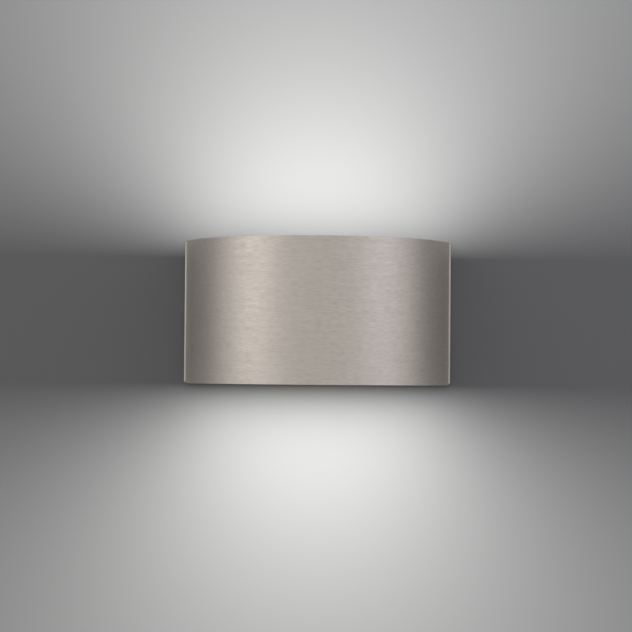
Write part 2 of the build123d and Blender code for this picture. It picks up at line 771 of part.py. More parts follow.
pieces = {
    "base_pan": base_pan,
    "cable_grommet": cable_grommet,
    "bracket_left": bracket_left,
    "bracket_right": bracket_right,
    "bracket_rivets": bracket_rivets,
    "bush_left": bush_left,
    "bush_right": bush_right,
    "up_tray": up_tray,
    "down_tray": down_tray,
    "tray_screws": tray_screws,
    "up_board": up_board,
    "down_board": down_board,
    "up_leds": up_leds,
    "down_leds": down_leds,
    "board_screws": board_screws,
    "board_connectors": board_connectors,
    "up_diffuser": up_diffuser,
    "down_diffuser": down_diffuser,
    "diffuser_screws": diffuser_screws,
    "driver_case": driver_case,
    "driver_lid": driver_cover,
    "driver_board": driver_board,
    "driver_transformer": driver_transformer,
    "driver_capacitors": driver_capacitors,
    "driver_screws": driver_screws,
    "terminal_block": terminal_block,
    "terminal_contacts": terminal_contacts,
    "earth_stud": earth_stud,
    "earth_lug": earth_lug,
    "earth_washer": earth_washer,
    "earth_nut": earth_nut,
    "mains_leads": mains_leads,
    "earth_lead": earth_lead,
    "up_leads": up_leads,
    "down_leads": down_leads,
    "shade": shade,
    "upper_lug_left": upper_lug_left,
    "upper_lug_right": upper_lug_right,
    "lower_lug_left": lower_lug_left,
    "lower_lug_right": lower_lug_right,
    "thumb_washer_left": thumb_washer_left,
    "thumb_washer_right": thumb_washer_right,
    "thumb_screw_left": thumb_screw_left,
    "thumb_screw_right": thumb_screw_right,
    **buttons,
}

os.makedirs("parts", exist_ok=True)
for name, piece in pieces.items():
    piece.part.label = name
    export_step(piece.part, f"parts/{name}.step")
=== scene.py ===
"""Looks of the curved up-and-down wall light.

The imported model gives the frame: what each piece is, where it sits and which body it moves
with. This script gives every piece its finish. It also builds afresh the pieces whose real
surface is finer than a plain solid: the brushed shade, threads, knurls, drive recesses,
rivet heads, the moulded grommet, lamp packages and insulated leads.

Lengths are in metres. +X runs to the lamp's right, +Y goes into the wall, +Z is up, and the
origin lies in the wall plane, midway between the two wall-screw slots.
"""

import json
import logging
import math
from collections.abc import Callable, Iterable, Sequence
from dataclasses import dataclass, field
from enum import Enum
from typing import Any

import bmesh
import bpy
from mathutils import Matrix, Vector

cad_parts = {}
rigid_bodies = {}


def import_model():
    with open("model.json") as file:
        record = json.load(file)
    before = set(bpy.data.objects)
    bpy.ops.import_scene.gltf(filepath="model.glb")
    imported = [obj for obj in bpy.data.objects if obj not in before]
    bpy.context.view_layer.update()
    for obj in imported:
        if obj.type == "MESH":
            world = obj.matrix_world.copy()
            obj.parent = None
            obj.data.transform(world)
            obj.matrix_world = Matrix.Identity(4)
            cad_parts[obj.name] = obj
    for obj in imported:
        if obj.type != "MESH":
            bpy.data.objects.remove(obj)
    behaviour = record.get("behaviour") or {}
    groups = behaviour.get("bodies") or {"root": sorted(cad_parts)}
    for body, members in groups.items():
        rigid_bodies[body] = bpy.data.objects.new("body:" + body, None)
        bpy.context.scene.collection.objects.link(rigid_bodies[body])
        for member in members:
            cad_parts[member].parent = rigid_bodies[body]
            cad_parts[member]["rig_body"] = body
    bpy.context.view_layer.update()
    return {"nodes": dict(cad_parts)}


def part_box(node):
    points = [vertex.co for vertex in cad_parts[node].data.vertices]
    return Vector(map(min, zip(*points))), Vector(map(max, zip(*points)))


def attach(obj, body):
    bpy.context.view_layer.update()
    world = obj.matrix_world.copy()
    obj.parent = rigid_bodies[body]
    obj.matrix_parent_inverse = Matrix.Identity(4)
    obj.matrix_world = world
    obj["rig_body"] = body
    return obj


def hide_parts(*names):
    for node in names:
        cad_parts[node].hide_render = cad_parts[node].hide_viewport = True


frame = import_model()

log = logging.getLogger("wall_light")

MM = 0.001
TURN = 2 * math.pi

# Sockets of the Mix node when it mixes colours, which are told apart by their place.
MIX_FACTOR, MIX_A, MIX_B, MIX_RESULT = 0, 6, 7, 2

Ring = list[Vector]
Settings = dict[str | int, Any]
Links = dict[str | int, bpy.types.NodeSocket]


# ================= small tools =================


def linear(hex_colour: str, alpha: float = 1.0) -> tuple[float, float, float, float]:
    """Turn an sRGB hex colour into the linear one that shaders work in.

    Args:
        hex_colour: Six hex digits after a hash, such as "#c8beb4".
        alpha: Opacity that goes with the colour.

    Returns:
        Red, green, blue and alpha.
    """
    channels = []
    for start in (1, 3, 5):
        value = int(hex_colour[start : start + 2], 16) / 255
        channels.append(value / 12.92 if value <= 0.04045 else ((value + 0.055) / 1.055) ** 2.4)
    return channels[0], channels[1], channels[2], alpha


def add_node(
    tree: bpy.types.NodeTree,
    kind: str,
    settings: Settings | None = None,
    links: Links | None = None,
) -> bpy.types.Node:
    """Add a node with its settings and the links into it.

    Args:
        tree: Node tree that the node joins.
        kind: The node's type name.
        settings: Properties by their lower-case name, input values by socket name or place.
        links: Output sockets by the name or place of the input that they feed.

    Returns:
        The new node.
    """
    node = tree.nodes.new(kind)
    for name, value in (settings or {}).items():
        if isinstance(name, str) and hasattr(node, name):
            setattr(node, name, value)
        else:
            node.inputs[name].default_value = value
    for name, source in (links or {}).items():
        tree.links.new(source, node.inputs[name])
    return node


def size_scale(size: float) -> float:
    """Texture scale at which one cell of a pattern is about that large."""
    return 1 / size


class Facing(Enum):
    """Which way a fastener's head looks."""

    ROOM = (0, -1, 0)
    WALL = (0, 1, 0)
    UP = (0, 0, 1)
    DOWN = (0, 0, -1)

    def placed_at(self, point: Vector) -> Matrix:
        """Matrix that puts a piece made along +Z at a point, looking this way."""
        return Matrix.Translation(point) @ Vector(self.value).to_track_quat("Z", "Y").to_matrix().to_4x4()


# ================= finishes =================


@dataclass(frozen=True)
class Finish:
    """What every finish has: a maker's name, its colour and its gloss."""

    name: str
    colour: str
    roughness: float
    metallic: float = 0.0
    ior: float = 1.5

    def material(self) -> bpy.types.Material:
        """Make the finish's material, or give back the one that was made before.

        Returns:
            The material, its nodes built by this finish's surface method.
        """
        made = bpy.data.materials.get(self.name)
        if made is not None:
            return made
        made = bpy.data.materials.new(self.name)
        made.use_nodes = True
        tree = made.node_tree
        tree.nodes.clear()
        shader = self.surface(tree)
        add_node(tree, "ShaderNodeOutputMaterial", links={"Surface": shader.outputs[0]})
        made.diffuse_color = linear(self.colour)
        made.metallic = self.metallic
        made.roughness = self.roughness
        return made

    def surface(self, tree: bpy.types.NodeTree) -> bpy.types.Node:
        """Build the shader. Each family of finishes has its own.

        Args:
            tree: The material's node tree.

        Returns:
            The node whose first output is the surface.
        """
        raise NotImplementedError

    def shade_of(self, share: float) -> tuple[float, float, float, float]:
        """The finish's colour, lighter or darker by a share."""
        red, green, blue, alpha = linear(self.colour)
        return red * share, green * share, blue * share, alpha


@dataclass(frozen=True)
class BrushedNickel(Finish):
    """Nickel plate brushed round the curve with an abrasive belt, then lacquered.

    The belt leaves short, fine lines along the sheet, which smear reflections up and down
    but hardly sideways. So lamps beside the shade show as soft upright bands.
    """

    anisotropy: float = 0.5
    line_length: float = 6.5 * MM
    line_width: float = 0.75 * MM       # real lines are near 0.1 mm: drawn coarser, so that they show
    pass_length: float = 26 * MM        # one stroke of the belt
    pass_width: float = 3.2 * MM
    line_contrast: float = 0.045
    line_height: float = 0.004 * MM

    def surface(self, tree: bpy.types.NodeTree) -> bpy.types.Node:
        """Streaked reflection along the sheet's own length.

        Args:
            tree: The material's node tree.

        Returns:
            The shader node.
        """
        sheet = add_node(tree, "ShaderNodeUVMap", {"uv_map": "sheet"})
        along = add_node(
            tree,
            "ShaderNodeVectorMath",
            {"operation": "MULTIPLY", 1: (size_scale(self.line_length), size_scale(self.line_width), 1)},
            {0: sheet.outputs["UV"]},
        )
        lines = add_node(
            tree,
            "ShaderNodeTexNoise",
            {"noise_dimensions": "2D", "Scale": 1, "Detail": 2, "Roughness": 0.55},
            {"Vector": along.outputs[0]},
        )
        strokes = add_node(
            tree,
            "ShaderNodeVectorMath",
            {"operation": "MULTIPLY", 1: (size_scale(self.pass_length), size_scale(self.pass_width), 1)},
            {0: sheet.outputs["UV"]},
        )
        passes = add_node(
            tree,
            "ShaderNodeTexNoise",
            {"noise_dimensions": "2D", "Scale": 1, "Detail": 2, "Roughness": 0.5},
            {"Vector": strokes.outputs[0]},
        )
        # Lines and belt strokes together, so that the streaks gather in loose bands.
        streaks = add_node(
            tree,
            "ShaderNodeMix",
            {"data_type": "FLOAT", 0: 0.3},
            {2: lines.outputs["Fac"], 3: passes.outputs["Fac"]},
        )
        tone = add_node(
            tree,
            "ShaderNodeValToRGB",
            links={"Fac": streaks.outputs[0]},
        )
        tone.color_ramp.elements[0].position = 0.32
        tone.color_ramp.elements[0].color = self.shade_of(1 - 2 * self.line_contrast)
        tone.color_ramp.elements[1].position = 0.66
        tone.color_ramp.elements[1].color = self.shade_of(1 + self.line_contrast)
        gloss = add_node(
            tree,
            "ShaderNodeMapRange",
            {
                "From Min": 0.3,
                "From Max": 0.7,
                "To Min": self.roughness * 1.12,
                "To Max": self.roughness * 0.9,
            },
            {"Value": streaks.outputs[0]},
        )
        relief = add_node(
            tree,
            "ShaderNodeBump",
            {"Strength": 0.5, "Distance": self.line_height},
            {"Height": lines.outputs["Fac"]},
        )
        run = add_node(tree, "ShaderNodeTangent", {"direction_type": "UV_MAP", "uv_map": "sheet"})
        return add_node(
            tree,
            "ShaderNodeBsdfPrincipled",
            {
                "Metallic": self.metallic,
                "Anisotropic": self.anisotropy,
                "Anisotropic Rotation": 0.25,
            },
            {
                "Base Color": tone.outputs["Color"],
                "Roughness": gloss.outputs["Result"],
                "Normal": relief.outputs["Normal"],
                "Tangent": run.outputs["Tangent"],
            },
        )


@dataclass(frozen=True)
class PlatedMetal(Finish):
    """Electroplated metal: bright zinc or nickel on pressed or turned steel.

    Plating is never even: it clouds over a few centimetres, and the rolled sheet's grain
    shows through as fine lines, so the gloss breathes from place to place.
    """

    cloud_size: float = 14 * MM
    grain_length: float = 9 * MM
    grain_width: float = 0.4 * MM       # real rolling lines are finer: drawn coarser, so that they show
    tint: str = "#b9b7ae"               # passivation, slightly yellow
    tint_share: float = 0.35
    grain_height: float = 0.003 * MM

    def surface(self, tree: bpy.types.NodeTree) -> bpy.types.Node:
        """Clouded plate over a fine grain.

        Args:
            tree: The material's node tree.

        Returns:
            The shader node.
        """
        place = add_node(tree, "ShaderNodeTexCoord")
        clouds = add_node(
            tree,
            "ShaderNodeTexNoise",
            {"Scale": size_scale(self.cloud_size), "Detail": 4, "Roughness": 0.55},
            {"Vector": place.outputs["Object"]},
        )
        stretch = add_node(
            tree,
            "ShaderNodeMapping",
            {
                "Scale": (
                    size_scale(self.grain_length),
                    size_scale(self.grain_width),
                    size_scale(self.grain_width),
                )
            },
            {"Vector": place.outputs["Object"]},
        )
        grain = add_node(
            tree,
            "ShaderNodeTexNoise",
            {"Scale": 1, "Detail": 3, "Roughness": 0.6},
            {"Vector": stretch.outputs["Vector"]},
        )
        clouded = add_node(
            tree,
            "ShaderNodeMapRange",
            {"From Min": 0.35, "From Max": 0.7, "To Min": 0, "To Max": self.tint_share},
            {"Value": clouds.outputs["Fac"]},
        )
        tinted = add_node(
            tree,
            "ShaderNodeMix",
            {"data_type": "RGBA", MIX_A: linear(self.colour), MIX_B: linear(self.tint)},
            {MIX_FACTOR: clouded.outputs["Result"]},
        )
        grained = add_node(
            tree,
            "ShaderNodeHueSaturation",
            {"Saturation": 1},
            {"Color": tinted.outputs[MIX_RESULT]},
        )
        lightness = add_node(
            tree,
            "ShaderNodeMapRange",
            {"From Min": 0.3, "From Max": 0.7, "To Min": 0.9, "To Max": 1.06},
            {"Value": grain.outputs["Fac"]},
        )
        tree.links.new(lightness.outputs["Result"], grained.inputs["Value"])
        gloss = add_node(
            tree,
            "ShaderNodeMapRange",
            {
                "From Min": 0.3,
                "From Max": 0.7,
                "To Min": self.roughness * 0.8,
                "To Max": self.roughness * 1.25,
            },
            {"Value": clouds.outputs["Fac"]},
        )
        relief = add_node(
            tree,
            "ShaderNodeBump",
            {"Strength": 0.5, "Distance": self.grain_height},
            {"Height": grain.outputs["Fac"]},
        )
        return add_node(
            tree,
            "ShaderNodeBsdfPrincipled",
            {"Metallic": self.metallic},
            {
                "Base Color": grained.outputs["Color"],
                "Roughness": gloss.outputs["Result"],
                "Normal": relief.outputs["Normal"],
            },
        )


@dataclass(frozen=True)
class Moulded(Finish):
    """Injection-moulded plastic or rubber out of a spark-eroded mould.

    The mould leaves an even, pebbled skin that breaks up highlights, and the melt leaves
    faint flow clouds in the colour.
    """

    pebble_size: float = 0.45 * MM      # real texture is near 0.1 mm: drawn coarser, so that it shows
    pebble_height: float = 0.02 * MM
    cloud_size: float = 18 * MM
    cloud_share: float = 0.05

    def surface(self, tree: bpy.types.NodeTree) -> bpy.types.Node:
        """Pebbled skin with flow clouds.

        Args:
            tree: The material's node tree.

        Returns:
            The shader node.
        """
        place = add_node(tree, "ShaderNodeTexCoord")
        pebbles = add_node(
            tree,
            "ShaderNodeTexNoise",
            {"Scale": size_scale(self.pebble_size), "Detail": 2, "Roughness": 0.5},
            {"Vector": place.outputs["Object"]},
        )
        clouds = add_node(
            tree,
            "ShaderNodeTexNoise",
            {"Scale": size_scale(self.cloud_size), "Detail": 3, "Roughness": 0.5, "Distortion": 0.6},
            {"Vector": place.outputs["Object"]},
        )
        tone = add_node(
            tree,
            "ShaderNodeMix",
            {
                "data_type": "RGBA",
                MIX_A: self.shade_of(1 - self.cloud_share),
                MIX_B: self.shade_of(1 + self.cloud_share / 2),
            },
            {MIX_FACTOR: clouds.outputs["Fac"]},
        )
        gloss = add_node(
            tree,
            "ShaderNodeMapRange",
            {
                "From Min": 0.3,
                "From Max": 0.7,
                "To Min": self.roughness * 0.9,
                "To Max": self.roughness * 1.12,
            },
            {"Value": clouds.outputs["Fac"]},
        )
        relief = add_node(
            tree,
            "ShaderNodeBump",
            {"Strength": 0.6, "Distance": self.pebble_height},
            {"Height": pebbles.outputs["Fac"]},
        )
        return add_node(
            tree,
            "ShaderNodeBsdfPrincipled",
            {"IOR": self.ior},
            {
                "Base Color": tone.outputs[MIX_RESULT],
                "Roughness": gloss.outputs["Result"],
                "Normal": relief.outputs["Normal"],
            },
        )


@dataclass(frozen=True)
class StovedEnamel(Finish):
    """Sprayed and stoved white enamel on aluminium sheet.

    The paint draws up into a shallow orange peel, which makes soft highlights wobble.
    """

    peel_size: float = 1.6 * MM
    peel_height: float = 0.03 * MM
    coat: float = 0.3

    def surface(self, tree: bpy.types.NodeTree) -> bpy.types.Node:
        """Orange peel under a thin gloss.

        Args:
            tree: The material's node tree.

        Returns:
            The shader node.
        """
        place = add_node(tree, "ShaderNodeTexCoord")
        peel = add_node(
            tree,
            "ShaderNodeTexVoronoi",
            {"feature": "SMOOTH_F1", "Scale": size_scale(self.peel_size), "Smoothness": 1},
            {"Vector": place.outputs["Object"]},
        )
        drift = add_node(
            tree,
            "ShaderNodeTexNoise",
            {"Scale": size_scale(22 * MM), "Detail": 3},
            {"Vector": place.outputs["Object"]},
        )
        tone = add_node(
            tree,
            "ShaderNodeMix",
            {"data_type": "RGBA", MIX_A: self.shade_of(0.96), MIX_B: self.shade_of(1.02)},
            {MIX_FACTOR: drift.outputs["Fac"]},
        )
        relief = add_node(
            tree,
            "ShaderNodeBump",
            {"Strength": 0.5, "Distance": self.peel_height},
            {"Height": peel.outputs["Distance"]},
        )
        gloss = add_node(
            tree,
            "ShaderNodeMapRange",
            {"To Min": self.roughness * 0.85, "To Max": self.roughness * 1.15},
            {"Value": drift.outputs["Fac"]},
        )
        return add_node(
            tree,
            "ShaderNodeBsdfPrincipled",
            {"IOR": self.ior, "Coat Weight": self.coat, "Coat Roughness": 0.15},
            {
                "Base Color": tone.outputs[MIX_RESULT],
                "Roughness": gloss.outputs["Result"],
                "Normal": relief.outputs["Normal"],
            },
        )


@dataclass(frozen=True)
class OpalAcrylic(Finish):
    """Opal acrylic sheet with a satin face, lit from below by two rows of diodes.

    The pigment spreads the light, so the sheet glows evenly, a little brighter along the
    lamp board and calmer towards its edges.
    """

    glow_colour: str = "#fff6ea"
    glow: float = 1.0
    edge_share: float = 0.55            # brightness at the sheet's edges
    board_depth: float = 45 * MM
    glow_reach: float = 42 * MM         # board's middle to where the glow has faded
    satin_size: float = 0.5 * MM
    satin_height: float = 0.012 * MM

    def surface(self, tree: bpy.types.NodeTree) -> bpy.types.Node:
        """Glow that fades away from the lamp board, under a satin skin.

        Args:
            tree: The material's node tree.

        Returns:
            The shader node.
        """
        place = add_node(tree, "ShaderNodeTexCoord")
        flattened = add_node(
            tree,
            "ShaderNodeMapping",
            {
                "Location": (0, self.board_depth / self.glow_reach, 0),
                "Scale": (0.45 / self.glow_reach, 1 / self.glow_reach, 0),
            },
            {"Vector": place.outputs["Object"]},
        )
        away = add_node(
            tree,
            "ShaderNodeVectorMath",
            {"operation": "LENGTH"},
            {0: flattened.outputs["Vector"]},
        )
        fading = add_node(
            tree,
            "ShaderNodeMapRange",
            {
                "interpolation_type": "SMOOTHSTEP",
                "From Min": 0,
                "From Max": 1,
                "To Min": self.glow,
                "To Max": self.glow * self.edge_share,
            },
            {"Value": away.outputs["Value"]},
        )
        satin = add_node(
            tree,
            "ShaderNodeTexNoise",
            {"Scale": size_scale(self.satin_size), "Detail": 2},
            {"Vector": place.outputs["Object"]},
        )
        haze = add_node(
            tree,
            "ShaderNodeTexNoise",
            {"Scale": size_scale(15 * MM), "Detail": 3},
            {"Vector": place.outputs["Object"]},
        )
        tone = add_node(
            tree,
            "ShaderNodeMix",
            {"data_type": "RGBA", MIX_A: self.shade_of(0.97), MIX_B: self.shade_of(1.0)},
            {MIX_FACTOR: haze.outputs["Fac"]},
        )
        relief = add_node(
            tree,
            "ShaderNodeBump",
            {"Strength": 0.5, "Distance": self.satin_height},
            {"Height": satin.outputs["Fac"]},
        )
        gloss = add_node(
            tree,
            "ShaderNodeMapRange",
            {"To Min": self.roughness * 0.9, "To Max": self.roughness * 1.1},
            {"Value": haze.outputs["Fac"]},
        )
        return add_node(
            tree,
            "ShaderNodeBsdfPrincipled",
            {
                "IOR": self.ior,
                "Emission Color": linear(self.glow_colour),
                "Subsurface Weight": 0.3,
                "Subsurface Scale": 2 * MM,
            },
            {
                "Base Color": tone.outputs[MIX_RESULT],
                "Roughness": gloss.outputs["Result"],
                "Normal": relief.outputs["Normal"],
                "Emission Strength": fading.outputs["Result"],
            },
        )


@dataclass(frozen=True)
class SolderMask(Finish):
    """Printed circuit board under a screened solder mask.

    Copper areas under the mask stand a little proud and a shade off, as blocks with
    narrow gaps between them.
    """

    block_length: float = 10.5 * MM
    block_width: float = 4 * MM
    gap: float = 0.5 * MM
    copper_share: float = 0.93
    copper_height: float = 0.035 * MM

    def surface(self, tree: bpy.types.NodeTree) -> bpy.types.Node:
        """Copper blocks that show through the mask.

        Args:
            tree: The material's node tree.

        Returns:
            The shader node.
        """
        place = add_node(tree, "ShaderNodeTexCoord")
        copper = add_node(
            tree,
            "ShaderNodeTexBrick",
            {
                "offset": 0,
                "Color1": self.shade_of(self.copper_share),
                "Color2": self.shade_of(self.copper_share * 1.03),
                "Mortar": self.shade_of(1),
                "Scale": 1,
                "Mortar Size": self.gap,
                "Mortar Smooth": 0.1,
                "Brick Width": self.block_length,
                "Row Height": self.block_width,
            },
            {"Vector": place.outputs["Object"]},
        )
        weave = add_node(
            tree,
            "ShaderNodeTexNoise",
            {"Scale": size_scale(0.7 * MM), "Detail": 2},
            {"Vector": place.outputs["Object"]},
        )
        level = add_node(
            tree,
            "ShaderNodeMath",
            {"operation": "MULTIPLY_ADD", 1: 0.15},
            {0: weave.outputs["Fac"], 2: copper.outputs["Fac"]},
        )
        relief = add_node(
            tree,
            "ShaderNodeBump",
            {"invert": True, "Strength": 0.7, "Distance": self.copper_height},
            {"Height": level.outputs[0]},
        )
        gloss = add_node(
            tree,
            "ShaderNodeMapRange",
            {"To Min": self.roughness * 0.85, "To Max": self.roughness * 1.2},
            {"Value": weave.outputs["Fac"]},
        )
        return add_node(
            tree,
            "ShaderNodeBsdfPrincipled",
            {"IOR": self.ior},
            {
                "Base Color": copper.outputs["Color"],
                "Roughness": gloss.outputs["Result"],
                "Normal": relief.outputs["Normal"],
            },
        )


class Finishes:
    """Every finish on the lamp."""

    # Just under full metal: a satin plate scatters part of the light to every side, as a faint haze
    brushed_nickel = BrushedNickel("brushed_nickel", "#cec5bb", roughness=0.5, metallic=0.8)
    nickel_plate = PlatedMetal(
        "satin_nickel_plate", "#b3afa8", roughness=0.38, metallic=1, tint="#aca69b"
    )
    turned_nickel = PlatedMetal(
        "turned_nickel_plate", "#d2cbc2", roughness=0.22, metallic=1, tint="#c9c0b2"
    )
    zinc_plate = PlatedMetal("bright_zinc_plate", "#b9bdc2", roughness=0.3, metallic=1)
    tinned_copper = PlatedMetal("tinned_copper", "#c6c4bd", roughness=0.28, metallic=1)
    tinned_brass = PlatedMetal(
        "tinned_brass", "#c9bd98", roughness=0.26, metallic=1, tint="#b9a271"
    )
    white_enamel = StovedEnamel("white_stoved_enamel", "#e9e8e3", roughness=0.35)
    opal_acrylic = OpalAcrylic("opal_acrylic", "#efeeea", roughness=0.3, ior=1.49)
    white_board = SolderMask("white_solder_mask", "#eeede7", roughness=0.4)
    green_board = SolderMask("green_solder_mask", "#1f6a3a", roughness=0.3, block_length=7 * MM)
    white_polycarbonate = Moulded("moulded_polycarbonate", "#dededa", roughness=0.45, ior=1.58)
    white_nylon = Moulded("moulded_white_nylon", "#dcdbd3", roughness=0.5, ior=1.53)
    brown_nylon = Moulded("moulded_brown_nylon", "#6a4128", roughness=0.48, ior=1.53)
    blue_nylon = Moulded("moulded_blue_nylon", "#2a63b0", roughness=0.48, ior=1.53)
    green_nylon = Moulded("moulded_green_nylon", "#2f8f45", roughness=0.48, ior=1.53)
    black_rubber = Moulded("moulded_black_rubber", "#242424", roughness=0.62, ior=1.52)
    ferrite = Moulded("sintered_ferrite", "#3a3a3c", roughness=0.6, ior=1.7)
    capacitor_sleeve = Moulded("shrunk_sleeve", "#1b2027", roughness=0.3, pebble_height=0.004 * MM)
    package_body = Moulded("lamp_package_body", "#f0efe9", roughness=0.4, pebble_height=0.004 * MM)
    phosphor = Moulded("silicone_phosphor", "#e8cf6a", roughness=0.2, ior=1.41, pebble_height=0.003 * MM)
    brown_sleeve = Moulded("brown_insulation", "#6b3f26", roughness=0.42, pebble_height=0.006 * MM)
    blue_sleeve = Moulded("blue_insulation", "#2460b8", roughness=0.42, pebble_height=0.006 * MM)
    red_sleeve = Moulded("red_silicone_insulation", "#b3211c", roughness=0.38, pebble_height=0.006 * MM)
    black_sleeve = Moulded("black_silicone_insulation", "#1f1f20", roughness=0.38, pebble_height=0.006 * MM)
    green_sleeve = Moulded("green_insulation", "#3c8f3a", roughness=0.42, pebble_height=0.006 * MM)
    yellow_sleeve = Moulded("yellow_insulation", "#e2cf3a", roughness=0.42, pebble_height=0.006 * MM)


# ================= mesh work =================


@dataclass
class Draft:
    """A mesh being made: points and faces in the lamp's frame, each face with its finish."""

    points: list[Vector] = field(default_factory=list)
    faces: list[tuple[int, ...]] = field(default_factory=list)
    finish_of: list[int] = field(default_factory=list)

    def loft(
        self,
        rings: Sequence[Ring],
        finish: int | Callable[[int], int] = 0,
        caps: bool = True,
        closed: bool = False,
    ) -> None:
        """Skin a run of rings that have as many points each.

        Args:
            rings: Rings in order along the piece.
            finish: Place of the finish in the piece's list, or a function of the side's number.
            caps: Whether the first and the last ring are closed with a face.
            closed: Whether the last ring joins the first, as on a bush.
        """
        start = len(self.points)
        sides = len(rings[0])
        for ring in rings:
            self.points.extend(ring)
        joins = len(rings) if closed else len(rings) - 1
        for row in range(joins):
            low = start + row * sides
            high = start + ((row + 1) % len(rings)) * sides
            for side in range(sides):
                after = (side + 1) % sides
                self.faces.append((low + side, low + after, high + after, high + side))
                self.finish_of.append(finish(side) if callable(finish) else finish)
        if caps and not closed:
            last = start + (len(rings) - 1) * sides
            self.faces.append(tuple(reversed(range(start, start + sides))))
            self.faces.append(tuple(range(last, last + sides)))
            self.finish_of.extend([finish(0) if callable(finish) else finish] * 2)

    def lathe(self, profile: Sequence[tuple[float, float]], sides: int, closed: bool = False) -> None:
        """Turn a profile round the Z axis.

        Args:
            profile: Radius and height of each point of the profile.
            sides: How many sides the turned shape has.
            closed: Whether the profile's end joins its start, as on a bush.
        """
        rings = [
            [Vector((radius * math.cos(turn), radius * math.sin(turn), height)) for turn in turns(sides)]
            for radius, height in profile
        ]
        self.loft(rings, caps=False, closed=closed)

    def add(self, other: "Draft", placement: Matrix) -> None:
        """Copy another draft into this one at a place."""
        start = len(self.points)
        self.points.extend(placement @ point for point in other.points)
        self.faces.extend(tuple(start + corner for corner in face) for face in other.faces)
        self.finish_of.extend(other.finish_of)

    def object(self, name: str, finishes: Sequence[Finish], smooth_below: float = 35) -> bpy.types.Object:
        """Turn the draft into an object.

        Args:
            name: The piece's name.
            finishes: Its finishes, in the order that finish_of counts them.
            smooth_below: Edges that turn by less than this many degrees are shaded smooth.

        Returns:
            The new object, linked into the scene.
        """
        mesh = bpy.data.meshes.new(name)
        mesh.from_pydata([tuple(point) for point in self.points], [], self.faces)
        mesh.polygons.foreach_set("material_index", self.finish_of)
        work = bmesh.new()
        work.from_mesh(mesh)
        bmesh.ops.remove_doubles(work, verts=work.verts, dist=0.0005 * MM)
        bmesh.ops.dissolve_degenerate(work, edges=work.edges, dist=0.0005 * MM)
        bmesh.ops.recalc_face_normals(work, faces=work.faces)
        work.to_mesh(mesh)
        work.free()
        for finish in finishes:
            mesh.materials.append(finish.material())
        mesh.shade_smooth()
        mesh.set_sharp_from_angle(angle=math.radians(smooth_below))
        piece = bpy.data.objects.new(name, mesh)
        bpy.context.scene.collection.objects.link(piece)
        return piece


def turns(sides: int) -> list[float]:
    """Angles of a ring's points, in radians."""
    return [TURN * side / sides for side in range(sides)]


def cut(draft: Draft, cutter: Draft) -> Draft:
    """Cut one closed draft out of another.

    Args:
        draft: What is cut.
        cutter: The shape that is taken away.

    Returns:
        A new draft of what is left.
    """
    body = draft.object("body_to_cut", [])
    tool = cutter.object("cutting_tool", [])
    step = body.modifiers.new("cut", "BOOLEAN")
    step.operation = "DIFFERENCE"
    step.solver = "EXACT"
    step.object = tool
    graph = bpy.context.evaluated_depsgraph_get()
    left = bpy.data.meshes.new_from_object(body.evaluated_get(graph))
    result = Draft(
        [vertex.co.copy() for vertex in left.vertices],
        [tuple(polygon.vertices) for polygon in left.polygons],
        [0] * len(left.polygons),
    )
    for scrap in (body, tool):
        bpy.data.objects.remove(scrap)
    bpy.data.meshes.remove(left)
    return result


def solids(node: str) -> list[tuple[Vector, Vector]]:
    """Lowest and highest corner of each separate solid in a CAD node.

    Args:
        node: The node's name.

    Returns:
        One pair of corners for each solid, ordered by where they lie.
    """
    work = bmesh.new()
    work.from_mesh(frame["nodes"][node].data)
    bmesh.ops.remove_doubles(work, verts=work.verts, dist=0.001 * MM)
    left = set(work.verts)
    found = []
    while left:
        reached = [left.pop()]
        for vertex in reached:
            for edge in vertex.link_edges:
                other = edge.other_vert(vertex)
                if other in left:
                    left.remove(other)
                    reached.append(other)
        spots = [vertex.co for vertex in reached]
        low = Vector([min(spot[axis] for spot in spots) for axis in range(3)])
        high = Vector([max(spot[axis] for spot in spots) for axis in range(3)])
        found.append((low, high))
    work.free()
    return sorted(found, key=lambda corners: tuple(round(value, 5) for value in corners[0]))


def spline_points(route: Sequence[Vector], steps: int = 6) -> list[Vector]:
    """Points along the smooth line that a lead takes past its control points.

    Args:
        route: Control points.
        steps: How finely each stretch is divided.

    Returns:
        Points along the line.
    """
    curve = bpy.data.curves.new("lead_route", "CURVE")
    curve.dimensions = "3D"
    line = curve.splines.new("NURBS")
    line.points.add(len(route) - 1)
    for control, point in zip(line.points, route):
        control.co = (*point, 1)
    line.order_u = 3
    line.use_endpoint_u = True
    line.resolution_u = steps
    holder = bpy.data.objects.new("lead_route", curve)
    bpy.context.scene.collection.objects.link(holder)
    graph = bpy.context.evaluated_depsgraph_get()
    mesh = bpy.data.meshes.new_from_object(holder.evaluated_get(graph))
    points = [vertex.co.copy() for vertex in mesh.vertices]
    bpy.data.objects.remove(holder)
    bpy.data.curves.remove(curve)
    bpy.data.meshes.remove(mesh)
    return points


def tube(points: Sequence[Vector], radius: float, sides: int) -> list[Ring]:
    """Rings of a round tube along a line, without twist.

    Args:
        points: The line.
        radius: The tube's radius.
        sides: How many sides it has.

    Returns:
        One ring for each point.
    """
    rings = []
    heading = (points[1] - points[0]).normalized()
    across = heading.orthogonal().normalized()
    for place, point in enumerate(points):
        before = points[max(place - 1, 0)]
        after = points[min(place + 1, len(points) - 1)]
        turned = (after - before).normalized()
        across = heading.rotation_difference(turned) @ across
        heading = turned
        up = heading.cross(across)
        rings.append(
            [point + radius * (math.cos(turn) * across + math.sin(turn) * up) for turn in turns(sides)]
        )
    return rings


# ================= sub-assemblies =================


